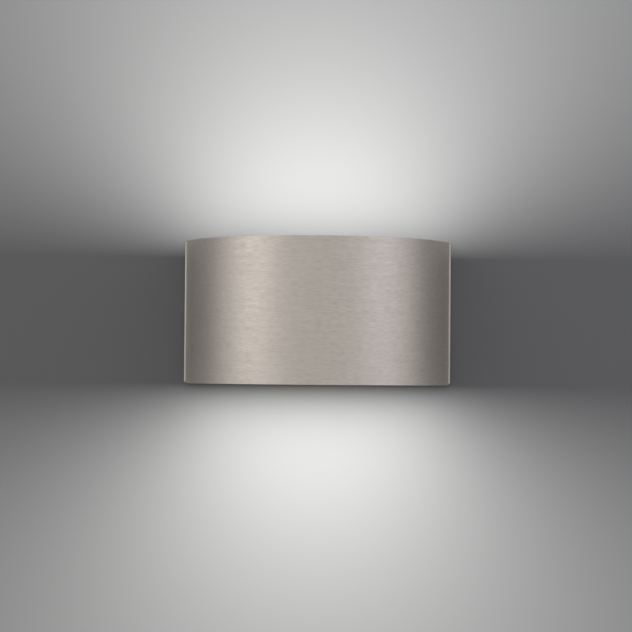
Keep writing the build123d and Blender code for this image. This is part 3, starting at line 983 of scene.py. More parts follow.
@dataclass
class Assembly:
    """A sub-assembly of the lamp, which makes and dresses its own pieces."""

    body: str = "wall_unit"
    pieces: list[bpy.types.Object] = field(default_factory=list)

    def build(self) -> list[bpy.types.Object]:
        """Make and dress the sub-assembly's pieces.

        Returns:
            The pieces.
        """
        raise NotImplementedError

    def dress(self, finish: Finish, *nodes: str) -> None:
        """Give CAD nodes whose shape is right a finish."""
        for name in nodes:
            node = frame["nodes"][name]
            node.data.materials.clear()
            node.data.materials.append(finish.material())
            self.pieces.append(node)

    def fit(
        self, piece: bpy.types.Object, slot: str, *nodes: str, body: str | None = None
    ) -> bpy.types.Object:
        """Put a new piece in the place of CAD nodes.

        Args:
            piece: The new piece, already in its place.
            slot: The record's material slot; not used.
            nodes: CAD nodes that it stands for.
            body: The body it moves with, where that isn't the sub-assembly's own.

        Returns:
            The piece.
        """
        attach(piece, body or self.body)
        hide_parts(*nodes)
        self.pieces.append(piece)
        return piece


@dataclass
class Shade(Assembly):
    """The lift-off half tube: one brushed sheet, rolled round the front and bent at both sides."""

    body: str = "shade_unit"
    wall: float = 1.2 * MM
    bend_half_width: float = 93 * MM
    bend_depth: float = 40.5 * MM
    bend_radius: float = 30 * MM
    rim_radius: float = 0.3 * MM
    arc_step: float = math.radians(1)
    wing_steps: int = 8

    def build(self) -> list[bpy.types.Object]:
        """Make the sheet and dress the lugs welded inside it.

        Returns:
            The pieces.
        """
        self.fit(self.sheet(), "nickel_shade", "shade")
        self.dress(
            Finishes.zinc_plate, "upper_lug_left", "upper_lug_right", "lower_lug_left", "lower_lug_right"
        )
        return self.pieces

    def outline(self) -> list[tuple[Vector, Vector, Vector]]:
        """Stations along the sheet's outer face, from the left wing's back edge to the right's.

        Returns:
            At each station a point, the direction out of the sheet, and the direction in
            which the sheet's thickness is cut there.
        """
        low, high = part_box("shade")
        half_width, front, back = high.x, -low.y, -high.y
        bend = Vector((self.bend_half_width, -self.bend_depth))
        edge = Vector((half_width, -back))
        wing = (edge - bend).normalized()
        wing_out = Vector((-wing.y, wing.x)) * -1
        # The front's circle runs through both bends and the middle of the front.
        rise = front - self.bend_depth
        radius = (self.bend_half_width**2 + rise**2) / (2 * rise)
        middle = Vector((0, radius - front))
        # The bend's circle touches the wing's line and, from inside, the front's circle.
        foot = bend - wing_out * self.bend_radius - middle
        along = foot.dot(wing)
        reach = (radius - self.bend_radius) ** 2 - foot.length_squared + along**2
        centre = middle + foot + wing * (-along + math.sqrt(reach))
        if (centre - middle - foot).dot(wing) > (edge - bend).length:
            centre = middle + foot + wing * (-along - math.sqrt(reach))
        wing_start = centre + wing_out * self.bend_radius
        wing_turn = math.atan2(wing_out.x, -wing_out.y)
        meet = (centre - middle).normalized()
        meet_turn = math.atan2(meet.x, -meet.y)

        right: list[tuple[Vector, Vector, Vector]] = []
        front_steps = math.ceil(meet_turn / self.arc_step)
        for step in range(front_steps + 1):
            turn = meet_turn * step / front_steps
            out = Vector((math.sin(turn), -math.cos(turn)))
            right.append((middle + out * radius, out, out))
        bend_steps = math.ceil((wing_turn - meet_turn) / self.arc_step) + 2
        for step in range(1, bend_steps + 1):
            turn = meet_turn + (wing_turn - meet_turn) * step / bend_steps
            out = Vector((math.sin(turn), -math.cos(turn)))
            right.append((centre + out * self.bend_radius, out, out))
        for step in range(1, self.wing_steps + 1):
            point = wing_start.lerp(edge, step / self.wing_steps)
            right.append((point, wing_out, wing_out))
        # The back edges are cut parallel to the wall, so the thickness is slanted there.
        point, out, _ = right[-1]
        right[-1] = (point, out, Vector((out.x - wing.x * out.y / wing.y, 0)))
        flip = Vector((-1, 1))
        left = [tuple(item * flip for item in station) for station in reversed(right[1:])]
        return left + right

    def sheet(self) -> bpy.types.Object:
        """The brushed sheet, its rims and back edges broken."""
        low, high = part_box("shade")
        rings = []
        lengths = [0.0]
        stations = self.outline()
        for (before, *_), (after, *_) in zip(stations, stations[1:]):
            lengths.append(lengths[-1] + (after - before).length)
        for point, _, across in stations:
            inner = point - across * self.wall
            rings.append(
                [
                    Vector((spot.x, spot.y, height))
                    for spot, height in (
                        (point, low.z),
                        (point, high.z),
                        (inner, high.z),
                        (inner, low.z),
                    )
                ]
            )
        draft = Draft()
        draft.loft(rings)
        piece = draft.object("brushed_shade", [Finishes.brushed_nickel])
        self.unroll(piece.data, stations, lengths)
        edges = piece.modifiers.new("broken_edges", "BEVEL")
        edges.width = self.rim_radius
        edges.segments = 3
        edges.limit_method = "ANGLE"
        edges.angle_limit = math.radians(40)
        edges.harden_normals = True
        return piece

    def unroll(
        self,
        mesh: bpy.types.Mesh,
        stations: Sequence[tuple[Vector, Vector, Vector]],
        lengths: Sequence[float],
    ) -> None:
        """Give the sheet a map in real lengths: along the sheet, and up.

        Args:
            mesh: The sheet's mesh.
            stations: Stations along the outer face.
            lengths: Length along the outer face at each station.
        """
        length_at = {}
        for (point, _, across), length in zip(stations, lengths):
            for spot in (point, point - across * self.wall):
                length_at[round(spot.x / MM, 3), round(spot.y / MM, 3)] = length
        sheet_map = mesh.uv_layers.new(name="sheet")
        for corner in mesh.loops:
            spot = mesh.vertices[corner.vertex_index].co
            length = length_at[round(spot.x / MM, 3), round(spot.y / MM, 3)]
            sheet_map.data[corner.index].uv = (length, spot.z)


@dataclass
class Fastener:
    """Screws and rivets, each made once along +Z and copied to where the CAD's solids are."""

    sides: int = 32
    thread_pitch: float = 0.5 * MM
    thread_depth: float = 0.25 * MM
    rings_in_pitch: int = 6

    def thread(self, radius: float, top: float, tip: float) -> Draft:
        """A threaded rod round the Z axis.

        Args:
            radius: Over the thread.
            top: Height where it starts.
            tip: Height of its chamfered end, below the top.

        Returns:
            The rod.
        """
        count = max(2, math.ceil((top - tip) / self.thread_pitch * self.rings_in_pitch))
        rings = []
        for row in range(count + 1):
            height = top + (tip - top) * row / count
            from_end = height - tip
            limit = radius - self.thread_depth * 1.6 + from_end
            ring = []
            for turn in turns(self.sides):
                phase = (height / self.thread_pitch - turn / TURN) % 1
                crest = radius - self.thread_depth * (1 - abs(2 * phase - 1))
                reach = min(crest, limit)
                ring.append(Vector((reach * math.cos(turn), reach * math.sin(turn), height)))
            rings.append(ring)
        draft = Draft()
        draft.loft(rings)
        return draft

    def cross_recess(self, span: float, depth: float) -> Draft:
        """Cutter for a cross recess in a head whose face is at height 0.

        Args:
            span: Across the recess.
            depth: How deep it goes.

        Returns:
            The cutter, tapered towards its foot.
        """
        draft = Draft()
        rings = []
        for height, share in ((depth, 1.25), (0, 1), (-depth, 0.45)):
            arm = span / 2 * share
            blade = span / 7 * (0.6 + 0.4 * share)
            corners = [
                (arm, -blade), (arm, blade), (blade, blade),
                (blade, arm), (-blade, arm), (-blade, blade),
                (-arm, blade), (-arm, -blade), (-blade, -blade),
                (-blade, -arm), (blade, -arm), (blade, -blade),
            ]
            rings.append([Vector((x, y, height)) for x, y in corners])
        draft.loft(rings)
        return draft

    def pan_head(self, head_radius: float, head: float, shank: float, length: float) -> Draft:
        """A pan-head screw with a cross recess, its head's face at height 0.

        Args:
            head_radius: Of the head.
            head: Height of the head.
            shank: Radius over the thread.
            length: From the head's face to the tip.

        Returns:
            The screw.
        """
        draft = Draft()
        crown = [
            (head_radius * math.sin(turn), -0.45 * head * (1 - math.cos(turn)))
            for turn in (math.radians(12 * step) for step in range(6))
        ]
        draft.lathe(
            [
                *crown,
                (head_radius * 0.96, -0.33 * head),
                (head_radius, -0.55 * head),
                (head_radius, -0.92 * head),
                (head_radius * 0.97, -head),
                (0, -head),
            ],
            self.sides,
        )
        draft = cut(draft, self.cross_recess(head_radius * 1.1, head * 0.62))
        draft.add(self.thread(shank, -head, -length), Matrix())
        return draft

    def countersunk(self, head_radius: float, shank: float, length: float) -> Draft:
        """A countersunk screw with a cross recess, its face at height 0.

        Args:
            head_radius: Of the head.
            shank: Radius over the thread.
            length: From the face to the tip.

        Returns:
            The screw.
        """
        draft = Draft()
        land = 0.12 * MM
        foot = -(head_radius - shank)
        draft.lathe(
            [
                (0, 0),
                (head_radius - land, 0),
                (head_radius, -land / 2),
                (shank, foot),
                (0, foot),
            ],
            self.sides,
        )
        draft = cut(draft, self.cross_recess(head_radius * 1.05, head_radius * 0.36))
        draft.add(self.thread(shank, foot, -length), Matrix())
        return draft

    def rivet(self, head_radius: float, head: float, shank: float, length: float) -> Draft:
        """A rivet with a domed head at each end, its outer face at height 0.

        Args:
            head_radius: Of both heads.
            head: Height of each head.
            shank: Radius between the heads.
            length: Over all.

        Returns:
            The rivet.
        """
        steps = 7
        dome = [
            (head_radius * math.sin(turn), -head * (1 - math.cos(turn)))
            for turn in (math.pi / 2 * step / steps for step in range(steps + 1))
        ]
        upset = [(radius, -length - height) for radius, height in reversed(dome)]
        draft = Draft()
        draft.lathe([*dome, (shank, -head), (shank, head - length), *upset], self.sides)
        return draft


def main_sizes(corners: tuple[Vector, Vector]) -> tuple[Vector, Vector]:
    """Middle and size of a box that is given by its corners."""
    low, high = corners
    return (low + high) / 2, high - low


@dataclass
class WallPan(Assembly):
    """The pressed pan on the wall, with its grommet, side brackets, bushes and rivets."""

    fastener: Fastener = field(default_factory=Fastener)
    rivet_head: float = 1.2 * MM
    rivet_radius: float = 2.0 * MM
    pan_wall: float = 1.2 * MM
    cable_hole: float = 8.5 * MM
    cable_radius: float = 4.25 * MM
    lip_radius: float = 0.7 * MM

    def build(self) -> list[bpy.types.Object]:
        """Dress the pressed pieces, and make the rivets and the grommet.

        Returns:
            The pieces.
        """
        self.dress(Finishes.nickel_plate, "base_pan")
        self.dress(Finishes.zinc_plate, "bracket_left", "bracket_right", "bush_left", "bush_right")
        self.fit(self.rivets(), "zinc_steel", "bracket_rivets")
        self.fit(self.grommet(), "black_rubber", "cable_grommet")
        return self.pieces

    def rivets(self) -> bpy.types.Object:
        """Rivets with domed heads, where the CAD has plain ones."""
        draft = Draft()
        for corners in solids("bracket_rivets"):
            middle, size = main_sizes(corners)
            rivet = self.fastener.rivet(size.x / 2, self.rivet_head, self.rivet_radius, size.y)
            draft.add(rivet, Facing.ROOM.placed_at(Vector((middle.x, corners[0].y, middle.z))))
        return draft.object("bracket_rivet_set", [Finishes.zinc_plate])

    def grommet(self) -> bpy.types.Object:
        """The rubber grommet, with soft lips and a groove that grips the pan."""
        low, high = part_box("cable_grommet")
        length = high.y - low.y
        rim = (high.x - low.x) / 2
        flange = (length - self.pan_wall) / 2
        lip = self.lip_radius
        steps = [math.radians(22.5 * step) for step in range(5)]
        corner = [(math.sin(turn), math.cos(turn)) for turn in steps]
        outer = [(rim - lip + lip * sine, -lip + lip * cosine) for sine, cosine in corner]
        inner = [
            (self.cable_radius + lip - lip * cosine, -lip + lip * sine) for sine, cosine in corner
        ]
        half = [*inner, *outer, (rim, -flange), (self.cable_hole, -flange)]
        mirrored = [(radius, -length - height) for radius, height in reversed(half)]
        draft = Draft()
        draft.lathe([*half, *mirrored], 64, closed=True)
        placed = Draft()
        middle = (low + high) / 2
        placed.add(draft, Facing.ROOM.placed_at(Vector((middle.x, low.y, middle.z))))
        return placed.object("cable_entry_grommet", [Finishes.black_rubber])


@dataclass
class LightTrays(Assembly):
    """Both light trays with their lamp boards, lamp packages, diffusers and screws."""

    fastener: Fastener = field(default_factory=Fastener)
    pan_head: float = 1.8 * MM
    shank: float = 1.5 * MM
    window_inset: float = 0.45 * MM
    window_drop: float = 0.12 * MM
    package_corner: float = 0.3 * MM

    def build(self) -> list[bpy.types.Object]:
        """Dress trays, boards and diffusers, and make the packages and screws.

        Returns:
            The pieces.
        """
        self.dress(Finishes.white_enamel, "up_tray", "down_tray")
        self.dress(Finishes.white_board, "up_board", "down_board")
        self.dress(Finishes.white_nylon, "board_connectors")
        self.dress(Finishes.opal_acrylic, "up_diffuser", "down_diffuser")
        self.fit(self.packages("up_leds", Facing.UP), "led_phosphor", "up_leds")
        self.fit(self.packages("down_leds", Facing.DOWN), "led_phosphor", "down_leds")
        self.fit(self.tray_screws(), "zinc_steel", "tray_screws")
        self.fit(self.board_screws(), "zinc_steel", "board_screws")
        self.fit(self.diffuser_screws(), "zinc_steel", "diffuser_screws")
        return self.pieces

    def package(self, length: float, width: float, height: float) -> Draft:
        """One lamp package: a white cup with a phosphor window, its foot at height 0.

        Args:
            length: Along the board.
            width: Across the board.
            height: Off the board.

        Returns:
            The package, finish 0 its cup and finish 1 its window.
        """

        def ring(inset: float, level: float) -> Ring:
            """Eight corners of the package's outline at a height."""
            half_x, half_y, nip = length / 2 - inset, width / 2 - inset, self.package_corner
            return [
                Vector((x, y, level))
                for x, y in (
                    (half_x, -half_y + nip), (half_x, half_y - nip), (half_x - nip, half_y),
                    (-half_x + nip, half_y), (-half_x, half_y - nip), (-half_x, -half_y + nip),
                    (-half_x + nip, -half_y), (half_x - nip, -half_y),
                )
            ]

        draft = Draft()
        inset, drop = self.window_inset, self.window_drop
        cup = [ring(0, 0), ring(0, height - drop), ring(drop / 2, height), ring(inset, height)]
        draft.loft([*cup, ring(inset + drop / 2, height - drop)])
        draft.finish_of[-1] = 1
        return draft

    def packages(self, node: str, facing: Facing) -> bpy.types.Object:
        """All packages of one board.

        Args:
            node: The CAD node with the plain packages.
            facing: Which way they shine.

        Returns:
            The new piece.
        """
        draft = Draft()
        for corners in solids(node):
            middle, size = main_sizes(corners)
            foot = corners[0].z if facing is Facing.UP else corners[1].z
            package = self.package(size.x, size.y, size.z)
            turn = Matrix() if facing is Facing.UP else Matrix.Rotation(math.pi, 4, "X")
            draft.add(package, Matrix.Translation(Vector((middle.x, middle.y, foot))) @ turn)
        return draft.object(f"{node}_packages", [Finishes.package_body, Finishes.phosphor])

    def tray_screws(self) -> bpy.types.Object:
        """The four screws through the trays' tabs."""
        draft = Draft()
        for corners in solids("tray_screws"):
            middle, size = main_sizes(corners)
            screw = self.fastener.pan_head(size.x / 2, self.pan_head, self.shank, size.y)
            draft.add(screw, Facing.ROOM.placed_at(Vector((middle.x, corners[0].y, middle.z))))
        return draft.object("tray_screw_set", [Finishes.zinc_plate])

    def board_screws(self) -> bpy.types.Object:
        """The four screws that hold the lamp boards."""
        draft = Draft()
        for corners in solids("board_screws"):
            middle, size = main_sizes(corners)
            facing = Facing.UP if middle.z > 0 else Facing.DOWN
            face = corners[1].z if middle.z > 0 else corners[0].z
            screw = self.fastener.pan_head(size.x / 2, self.pan_head, self.shank, size.z)
            draft.add(screw, facing.placed_at(Vector((middle.x, middle.y, face))))
        return draft.object("board_screw_set", [Finishes.zinc_plate])

    def diffuser_screws(self) -> bpy.types.Object:
        """The six countersunk screws in the diffusers."""
        draft = Draft()
        for corners in solids("diffuser_screws"):
            middle, size = main_sizes(corners)
            facing = Facing.UP if middle.z > 0 else Facing.DOWN
            face = corners[1].z if middle.z > 0 else corners[0].z
            screw = self.fastener.countersunk(size.x / 2, self.shank, size.z)
            draft.add(screw, facing.placed_at(Vector((middle.x, middle.y, face))))
        return draft.object("diffuser_screw_set", [Finishes.zinc_plate])


@dataclass
class Driver(Assembly):
    """The lamp's driver: moulded case and lid round a circuit board, and its two screws."""

    fastener: Fastener = field(default_factory=Fastener)
    pan_head: float = 1.8 * MM
    shank: float = 1.5 * MM

    def build(self) -> list[bpy.types.Object]:
        """Dress the driver and make its screws.

        Returns:
            The pieces.
        """
        self.dress(Finishes.white_polycarbonate, "driver_case", "driver_lid")
        self.dress(Finishes.green_board, "driver_board")
        self.dress(Finishes.ferrite, "driver_transformer")
        self.dress(Finishes.capacitor_sleeve, "driver_capacitors")
        draft = Draft()
        for corners in solids("driver_screws"):
            middle, size = main_sizes(corners)
            screw = self.fastener.pan_head(size.x / 2, self.pan_head, self.shank, size.y)
            draft.add(screw, Facing.ROOM.placed_at(Vector((middle.x, corners[0].y, middle.z))))
        self.fit(draft.object("driver_screw_set", [Finishes.zinc_plate]), "zinc_steel", "driver_screws")
        return self.pieces


@dataclass
class Terminals(Assembly):
    """The supply's terminal block, its release buttons, and the earth point on the pan."""

    fastener: Fastener = field(
        default_factory=lambda: Fastener(thread_pitch=0.7 * MM, thread_depth=0.35 * MM)
    )
    nut_chamfer: float = 0.5 * MM

    def build(self) -> list[bpy.types.Object]:
        """Dress the block and its buttons, and make the earth stud and nut.

        Returns:
            The pieces.
        """
        self.dress(Finishes.white_nylon, "terminal_block")
        self.dress(Finishes.tinned_brass, "terminal_contacts")
        self.dress(Finishes.brown_nylon, "button_live")
        self.dress(Finishes.blue_nylon, "button_neutral")
        self.dress(Finishes.green_nylon, "button_earth")
        self.dress(Finishes.tinned_copper, "earth_lug")
        self.dress(Finishes.zinc_plate, "earth_washer")
        self.fit(self.stud(), "zinc_steel", "earth_stud")
        self.fit(self.nut(), "zinc_steel", "earth_nut")
        return self.pieces

    def stud(self) -> bpy.types.Object:
        """The threaded earth stud, welded to the pan."""
        low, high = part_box("earth_stud")
        middle = (low + high) / 2
        draft = Draft()
        foot = Facing.WALL.placed_at(Vector((middle.x, high.y, middle.z)))
        rod = self.fastener.thread((high.x - low.x) / 2, 0, low.y - high.y)
        draft.add(rod, foot)
        return draft.object("earth_stud_threaded", [Finishes.zinc_plate])

    def nut(self) -> bpy.types.Object:
        """The earth point's hexagon nut, both faces chamfered."""
        low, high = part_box("earth_nut")
        middle = (low + high) / 2
        height = high.y - low.y
        corner = (high.x - low.x) / 2
        flat = (high.z - low.z) / 2
        stud_low, stud_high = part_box("earth_stud")
        bore = (stud_high.x - stud_low.x) / 2
        sides = 48

        def hexagon(turn: float) -> float:
            """Reach of the hexagon at an angle, its corners along X."""
            sector = TURN / 6
            return flat / math.cos((turn % sector) - sector / 2)

        rings = []
        for level, limit in (
            (0, flat),
            (-self.nut_chamfer, corner),
            (self.nut_chamfer - height, corner),
            (-height, flat),
        ):
            rings.append(
                [
                    Vector((math.cos(turn), math.sin(turn), 0)) * min(hexagon(turn), limit)
                    + Vector((0, 0, level))
                    for turn in turns(sides)
                ]
            )
        for level in (-height, 0):
            rings.append(
                [Vector((bore * math.cos(turn), bore * math.sin(turn), level)) for turn in turns(sides)]
            )
        draft = Draft()
        draft.loft(rings, caps=False, closed=True)
        placed = Draft()
        placed.add(draft, Facing.ROOM.placed_at(Vector((middle.x, low.y, middle.z))))
        return placed.object("earth_hex_nut", [Finishes.zinc_plate], smooth_below=25)


@dataclass
class Wiring(Assembly):
    """Insulated leads between the terminal block, the driver, the lamp boards and earth."""

    radius: float = 0.9 * MM
    sides: int = 16
    pair_pitch: float = 2.6 * MM
    slack: float = 0.35 * MM            # how far a short lead bows between its ends
    stripe_sides: int = 5               # sides of an earth lead that are yellow
    earth_way: tuple[tuple[float, float, float], ...] = (
        # in mm: up out of the terminal block, over in a slack bow, and down into the ring lug
        (23, -16, -11),
        (23, -16, -7.5),
        (22.6, -16, -4.2),
        (17, -15.4, -3.9),
        (2, -14, -4.6),
        (-13, -12.2, -4.4),
        (-25, -10.2, -3.9),
        (-29.8, -9.8, -4.3),
        (-30, -9.7, -7),
        (-30, -9.7, -9.5),
    )

    def build(self) -> list[bpy.types.Object]:
        """Make every lead.

        Returns:
            The pieces.
        """
        self.mains()
        self.earth()
        for side, finish, colour in (
            (-self.pair_pitch / 2, Finishes.red_sleeve, "red"),
            (self.pair_pitch / 2, Finishes.black_sleeve, "black"),
        ):
            self.board_lead("up", side, finish, colour)
            self.board_lead("down", side, finish, colour)
        return self.pieces

    def sleeve(
        self,
        name: str,
        route: Sequence[Vector],
        finishes: Sequence[Finish],
        slot: str,
        node: str,
        stripe: Callable[[int], int] | int = 0,
    ) -> None:
        """Make one lead along its route.

        Args:
            name: The piece's name.
            route: Its control points.
            finishes: Its insulation's colours.
            slot: The record's material slot.
            node: The CAD node that it stands for.
            stripe: Which colour each side has.
        """
        draft = Draft()
        draft.loft(tube(spline_points(route), self.radius, self.sides), finish=stripe)
        self.fit(draft.object(name, finishes), slot, node)

    def mains(self) -> None:
        """Live and neutral, from the terminal block up to the driver."""
        colours = ((Finishes.brown_sleeve, "live"), (Finishes.blue_sleeve, "neutral"))
        for corners, (finish, name) in zip(solids("mains_leads"), colours):
            middle, size = main_sizes(corners)
            low, high = corners
            bow = Vector((0, -self.slack, 0))
            route = [
                Vector((middle.x, middle.y, low.z)),
                Vector((middle.x, middle.y, low.z + size.z / 4)) + bow,
                Vector((middle.x, middle.y, high.z - size.z / 4)) + bow,
                Vector((middle.x, middle.y, high.z)),
            ]
            self.sleeve(f"{name}_lead", route, [finish], "mains_sleeve", "mains_leads")

    def earth(self) -> None:
        """Earth, from the terminal block over to the stud on the pan."""
        route = [Vector(point) * MM for point in self.earth_way]
        half = self.sides // 2
        self.sleeve(
            "earth_lead_striped",
            route,
            [Finishes.green_sleeve, Finishes.yellow_sleeve],
            "earth_sleeve",
            "earth_lead",
            stripe=lambda side: int(side % half < self.stripe_sides),
        )

    def board_lead(self, end: str, side: float, finish: Finish, colour: str) -> None:
        """One of the two leads from the driver to a lamp board.

        Args:
            end: "up" or "down", the board that it feeds.
            side: Offset of the lead from the middle of its pair.
            finish: Its insulation.
            colour: Colour's name, for the piece's name.
        """
        node = f"{end}_leads"
        low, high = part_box(node)
        start_z, board_z = (
            (low.z + self.radius, high.z - self.radius)
            if end == "up"
            else (high.z - self.radius, low.z + self.radius)
        )
        start_x = high.x
        climb_x = low.x + self.radius + self.pair_pitch / 2
        start_y = high.y - self.radius - self.pair_pitch / 2
        board_y = low.y + self.radius + self.pair_pitch / 2
        connector_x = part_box("board_connectors")[0].x
        rise = 1 if end == "up" else -1
        corner = 7 * MM
        here = Vector((climb_x - side, start_y + side, 0))
        route = [
            Vector((start_x, start_y + side, start_z)),
            Vector(((start_x + climb_x) / 2, start_y + side * 1.1, start_z + 0.4 * MM)),
            Vector((climb_x + corner, start_y + side, start_z)),
            here + Vector((0, 0, start_z)),
            here + Vector((0, 0, start_z + rise * corner)),
            here + Vector((0, 0, board_z - rise * corner)),
            here + Vector((0, 0, board_z)),
            here + Vector((0, -corner, board_z)),
            Vector((climb_x - side, (start_y + board_y) / 2, board_z - rise * 0.5 * MM)),
            Vector((climb_x - side, board_y - side + corner, board_z)),
            Vector((climb_x - side, board_y - side, board_z)),
            Vector((connector_x, board_y - side, board_z)),
        ]
        self.sleeve(f"{end}_lead_{colour}", route, [finish], "lead_sleeve", node)


@dataclass
class ThumbScrews(Assembly):
    """The two thumb screws under the brackets' lower arms, and their washers."""

    fastener: Fastener = field(
        default_factory=lambda: Fastener(sides=48, thread_pitch=0.7 * MM, thread_depth=0.35 * MM)
    )
    knurls: int = 24
    points_in_knurl: int = 8
    knurl_depth: float = 0.5 * MM
    head: float = 5.5 * MM
    # The CAD box is drawn in a little by the knurls' lands, so the head's own radius is named
    head_radius: float = 6.0 * MM
    shank: float = 2.0 * MM
    neck: float = 1.4 * MM              # plain shank next to the head
    groove: float = 1.2 * MM
    fillet: float = 0.5 * MM

    def build(self) -> list[bpy.types.Object]:
        """Make both screws and dress their washers.

        Returns:
            The pieces.
        """
        screw = self.screw()
        for side in ("left", "right"):
            node = f"thumb_screw_{side}"
            low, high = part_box(node)
            middle = (low + high) / 2
            draft = Draft()
            draft.add(screw, Facing.DOWN.placed_at(Vector((middle.x, middle.y, low.z))))
            piece = draft.object(f"{node}_knurled", [Finishes.turned_nickel], smooth_below=30)
            self.fit(piece, "nickel_thumb", node, body=f"{side}_screw")
        self.dress(Finishes.zinc_plate, "thumb_washer_left", "thumb_washer_right")
        return self.pieces

    def screw(self) -> Draft:
        """One thumb screw, its head's outer face at height 0."""
        low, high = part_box("thumb_screw_right")
        length = high.z - low.z
        rim = self.head_radius
        levels = [
            (0, rim - self.fillet),
            (-self.fillet * 0.3, rim - self.fillet * 0.25),
            (-self.fillet, rim),
            (self.fillet - self.head, rim),
            (self.fillet * 0.3 - self.head, rim - self.fillet * 0.25),
            (-self.head, rim - self.fillet),
        ]
        points = self.knurls * self.points_in_knurl
        rings = []
        for level, limit in levels:
            ring = []
            for turn in turns(points):
                within = (turn / TURN * self.knurls) % 1
                valley = math.sin(math.pi * within) ** 4
                reach = min(rim - self.knurl_depth * valley, limit)
                ring.append(Vector((reach * math.cos(turn), reach * math.sin(turn), level)))
            rings.append(ring)
        draft = Draft()
        draft.loft(rings)
        half = rim + self.fillet
        slot = Draft()
        slot.loft(
            [
                [
                    Vector((x, y, level))
                    for x, y in ((-half, -width), (half, -width), (half, width), (-half, width))
                ]
                for level, width in ((self.groove, self.groove / 2), (-self.groove, self.groove / 2))
            ]
        )
        draft = cut(draft, slot)
        neck = Draft()
        neck.lathe(
            [
                (0, -self.head),
                (self.shank * 1.25, -self.head),
                (self.shank * 0.82, -self.head - self.shank * 0.2),
                (self.shank * 0.82, -self.head - self.neck),
                (0, -self.head - self.neck),
            ],
            self.fastener.sides,
        )
        draft.add(neck, Matrix())
        draft.add(self.fastener.thread(self.shank, -self.head - self.neck, -length), Matrix())
        return draft


# ================= the studio =================


@dataclass(frozen=True)
class PaintedWall(Finish):
    """Matt emulsion rolled on plaster, seen only from the room's side."""

    stipple_size: float = 2.5 * MM
    stipple_height: float = 0.04 * MM

    def surface(self, tree: bpy.types.NodeTree) -> bpy.types.Node:
        """Matt paint with a roller's stipple; nothing from behind.

        Args:
            tree: The material's node tree.

        Returns:
            The node that mixes paint and nothing.
        """
        place = add_node(tree, "ShaderNodeTexCoord")
        stipple = add_node(
            tree,
            "ShaderNodeTexNoise",
            {"Scale": size_scale(self.stipple_size), "Detail": 3},
            {"Vector": place.outputs["Object"]},
        )
        relief = add_node(
            tree,
            "ShaderNodeBump",
            {"Strength": 0.25, "Distance": self.stipple_height},
            {"Height": stipple.outputs["Fac"]},
        )
        paint = add_node(
            tree,
            "ShaderNodeBsdfDiffuse",
            {"Color": linear(self.colour)},
            {"Normal": relief.outputs["Normal"]},
        )
        side = add_node(tree, "ShaderNodeNewGeometry")
        nothing = add_node(tree, "ShaderNodeBsdfTransparent")
        return add_node(
            tree,
            "ShaderNodeMixShader",
            links={0: side.outputs["Backfacing"], 1: paint.outputs[0], 2: nothing.outputs[0]},
        )


@dataclass(frozen=True)
class SoftBox:
    """A soft studio lamp: where it stands round the wall light, how large and how bright."""

    name: str
    azimuth: float                      # degrees from straight in front, positive to the right
    distance: float
    width: float
    height: float
    colour: str
    power: float
    lift: float = 0.0

    def place(self) -> None:
        """Add the lamp, looking at the wall light."""
        lamp = bpy.data.lights.new(self.name, "AREA")
        lamp.shape = "RECTANGLE"
        lamp.size = self.width
        lamp.size_y = self.height
        lamp.energy = self.power
        lamp.color = linear(self.colour)[:3]
        holder = bpy.data.objects.new(self.name, lamp)
        turn = math.radians(self.azimuth)
        spot = Vector((math.sin(turn), -math.cos(turn), 0)) * self.distance + Vector((0, 0, self.lift))
        holder.location = spot
        holder.rotation_mode = "QUATERNION"
        holder.rotation_quaternion = (-spot).to_track_quat("-Z", "Y")
        holder.visible_camera = False
        bpy.context.scene.collection.objects.link(holder)


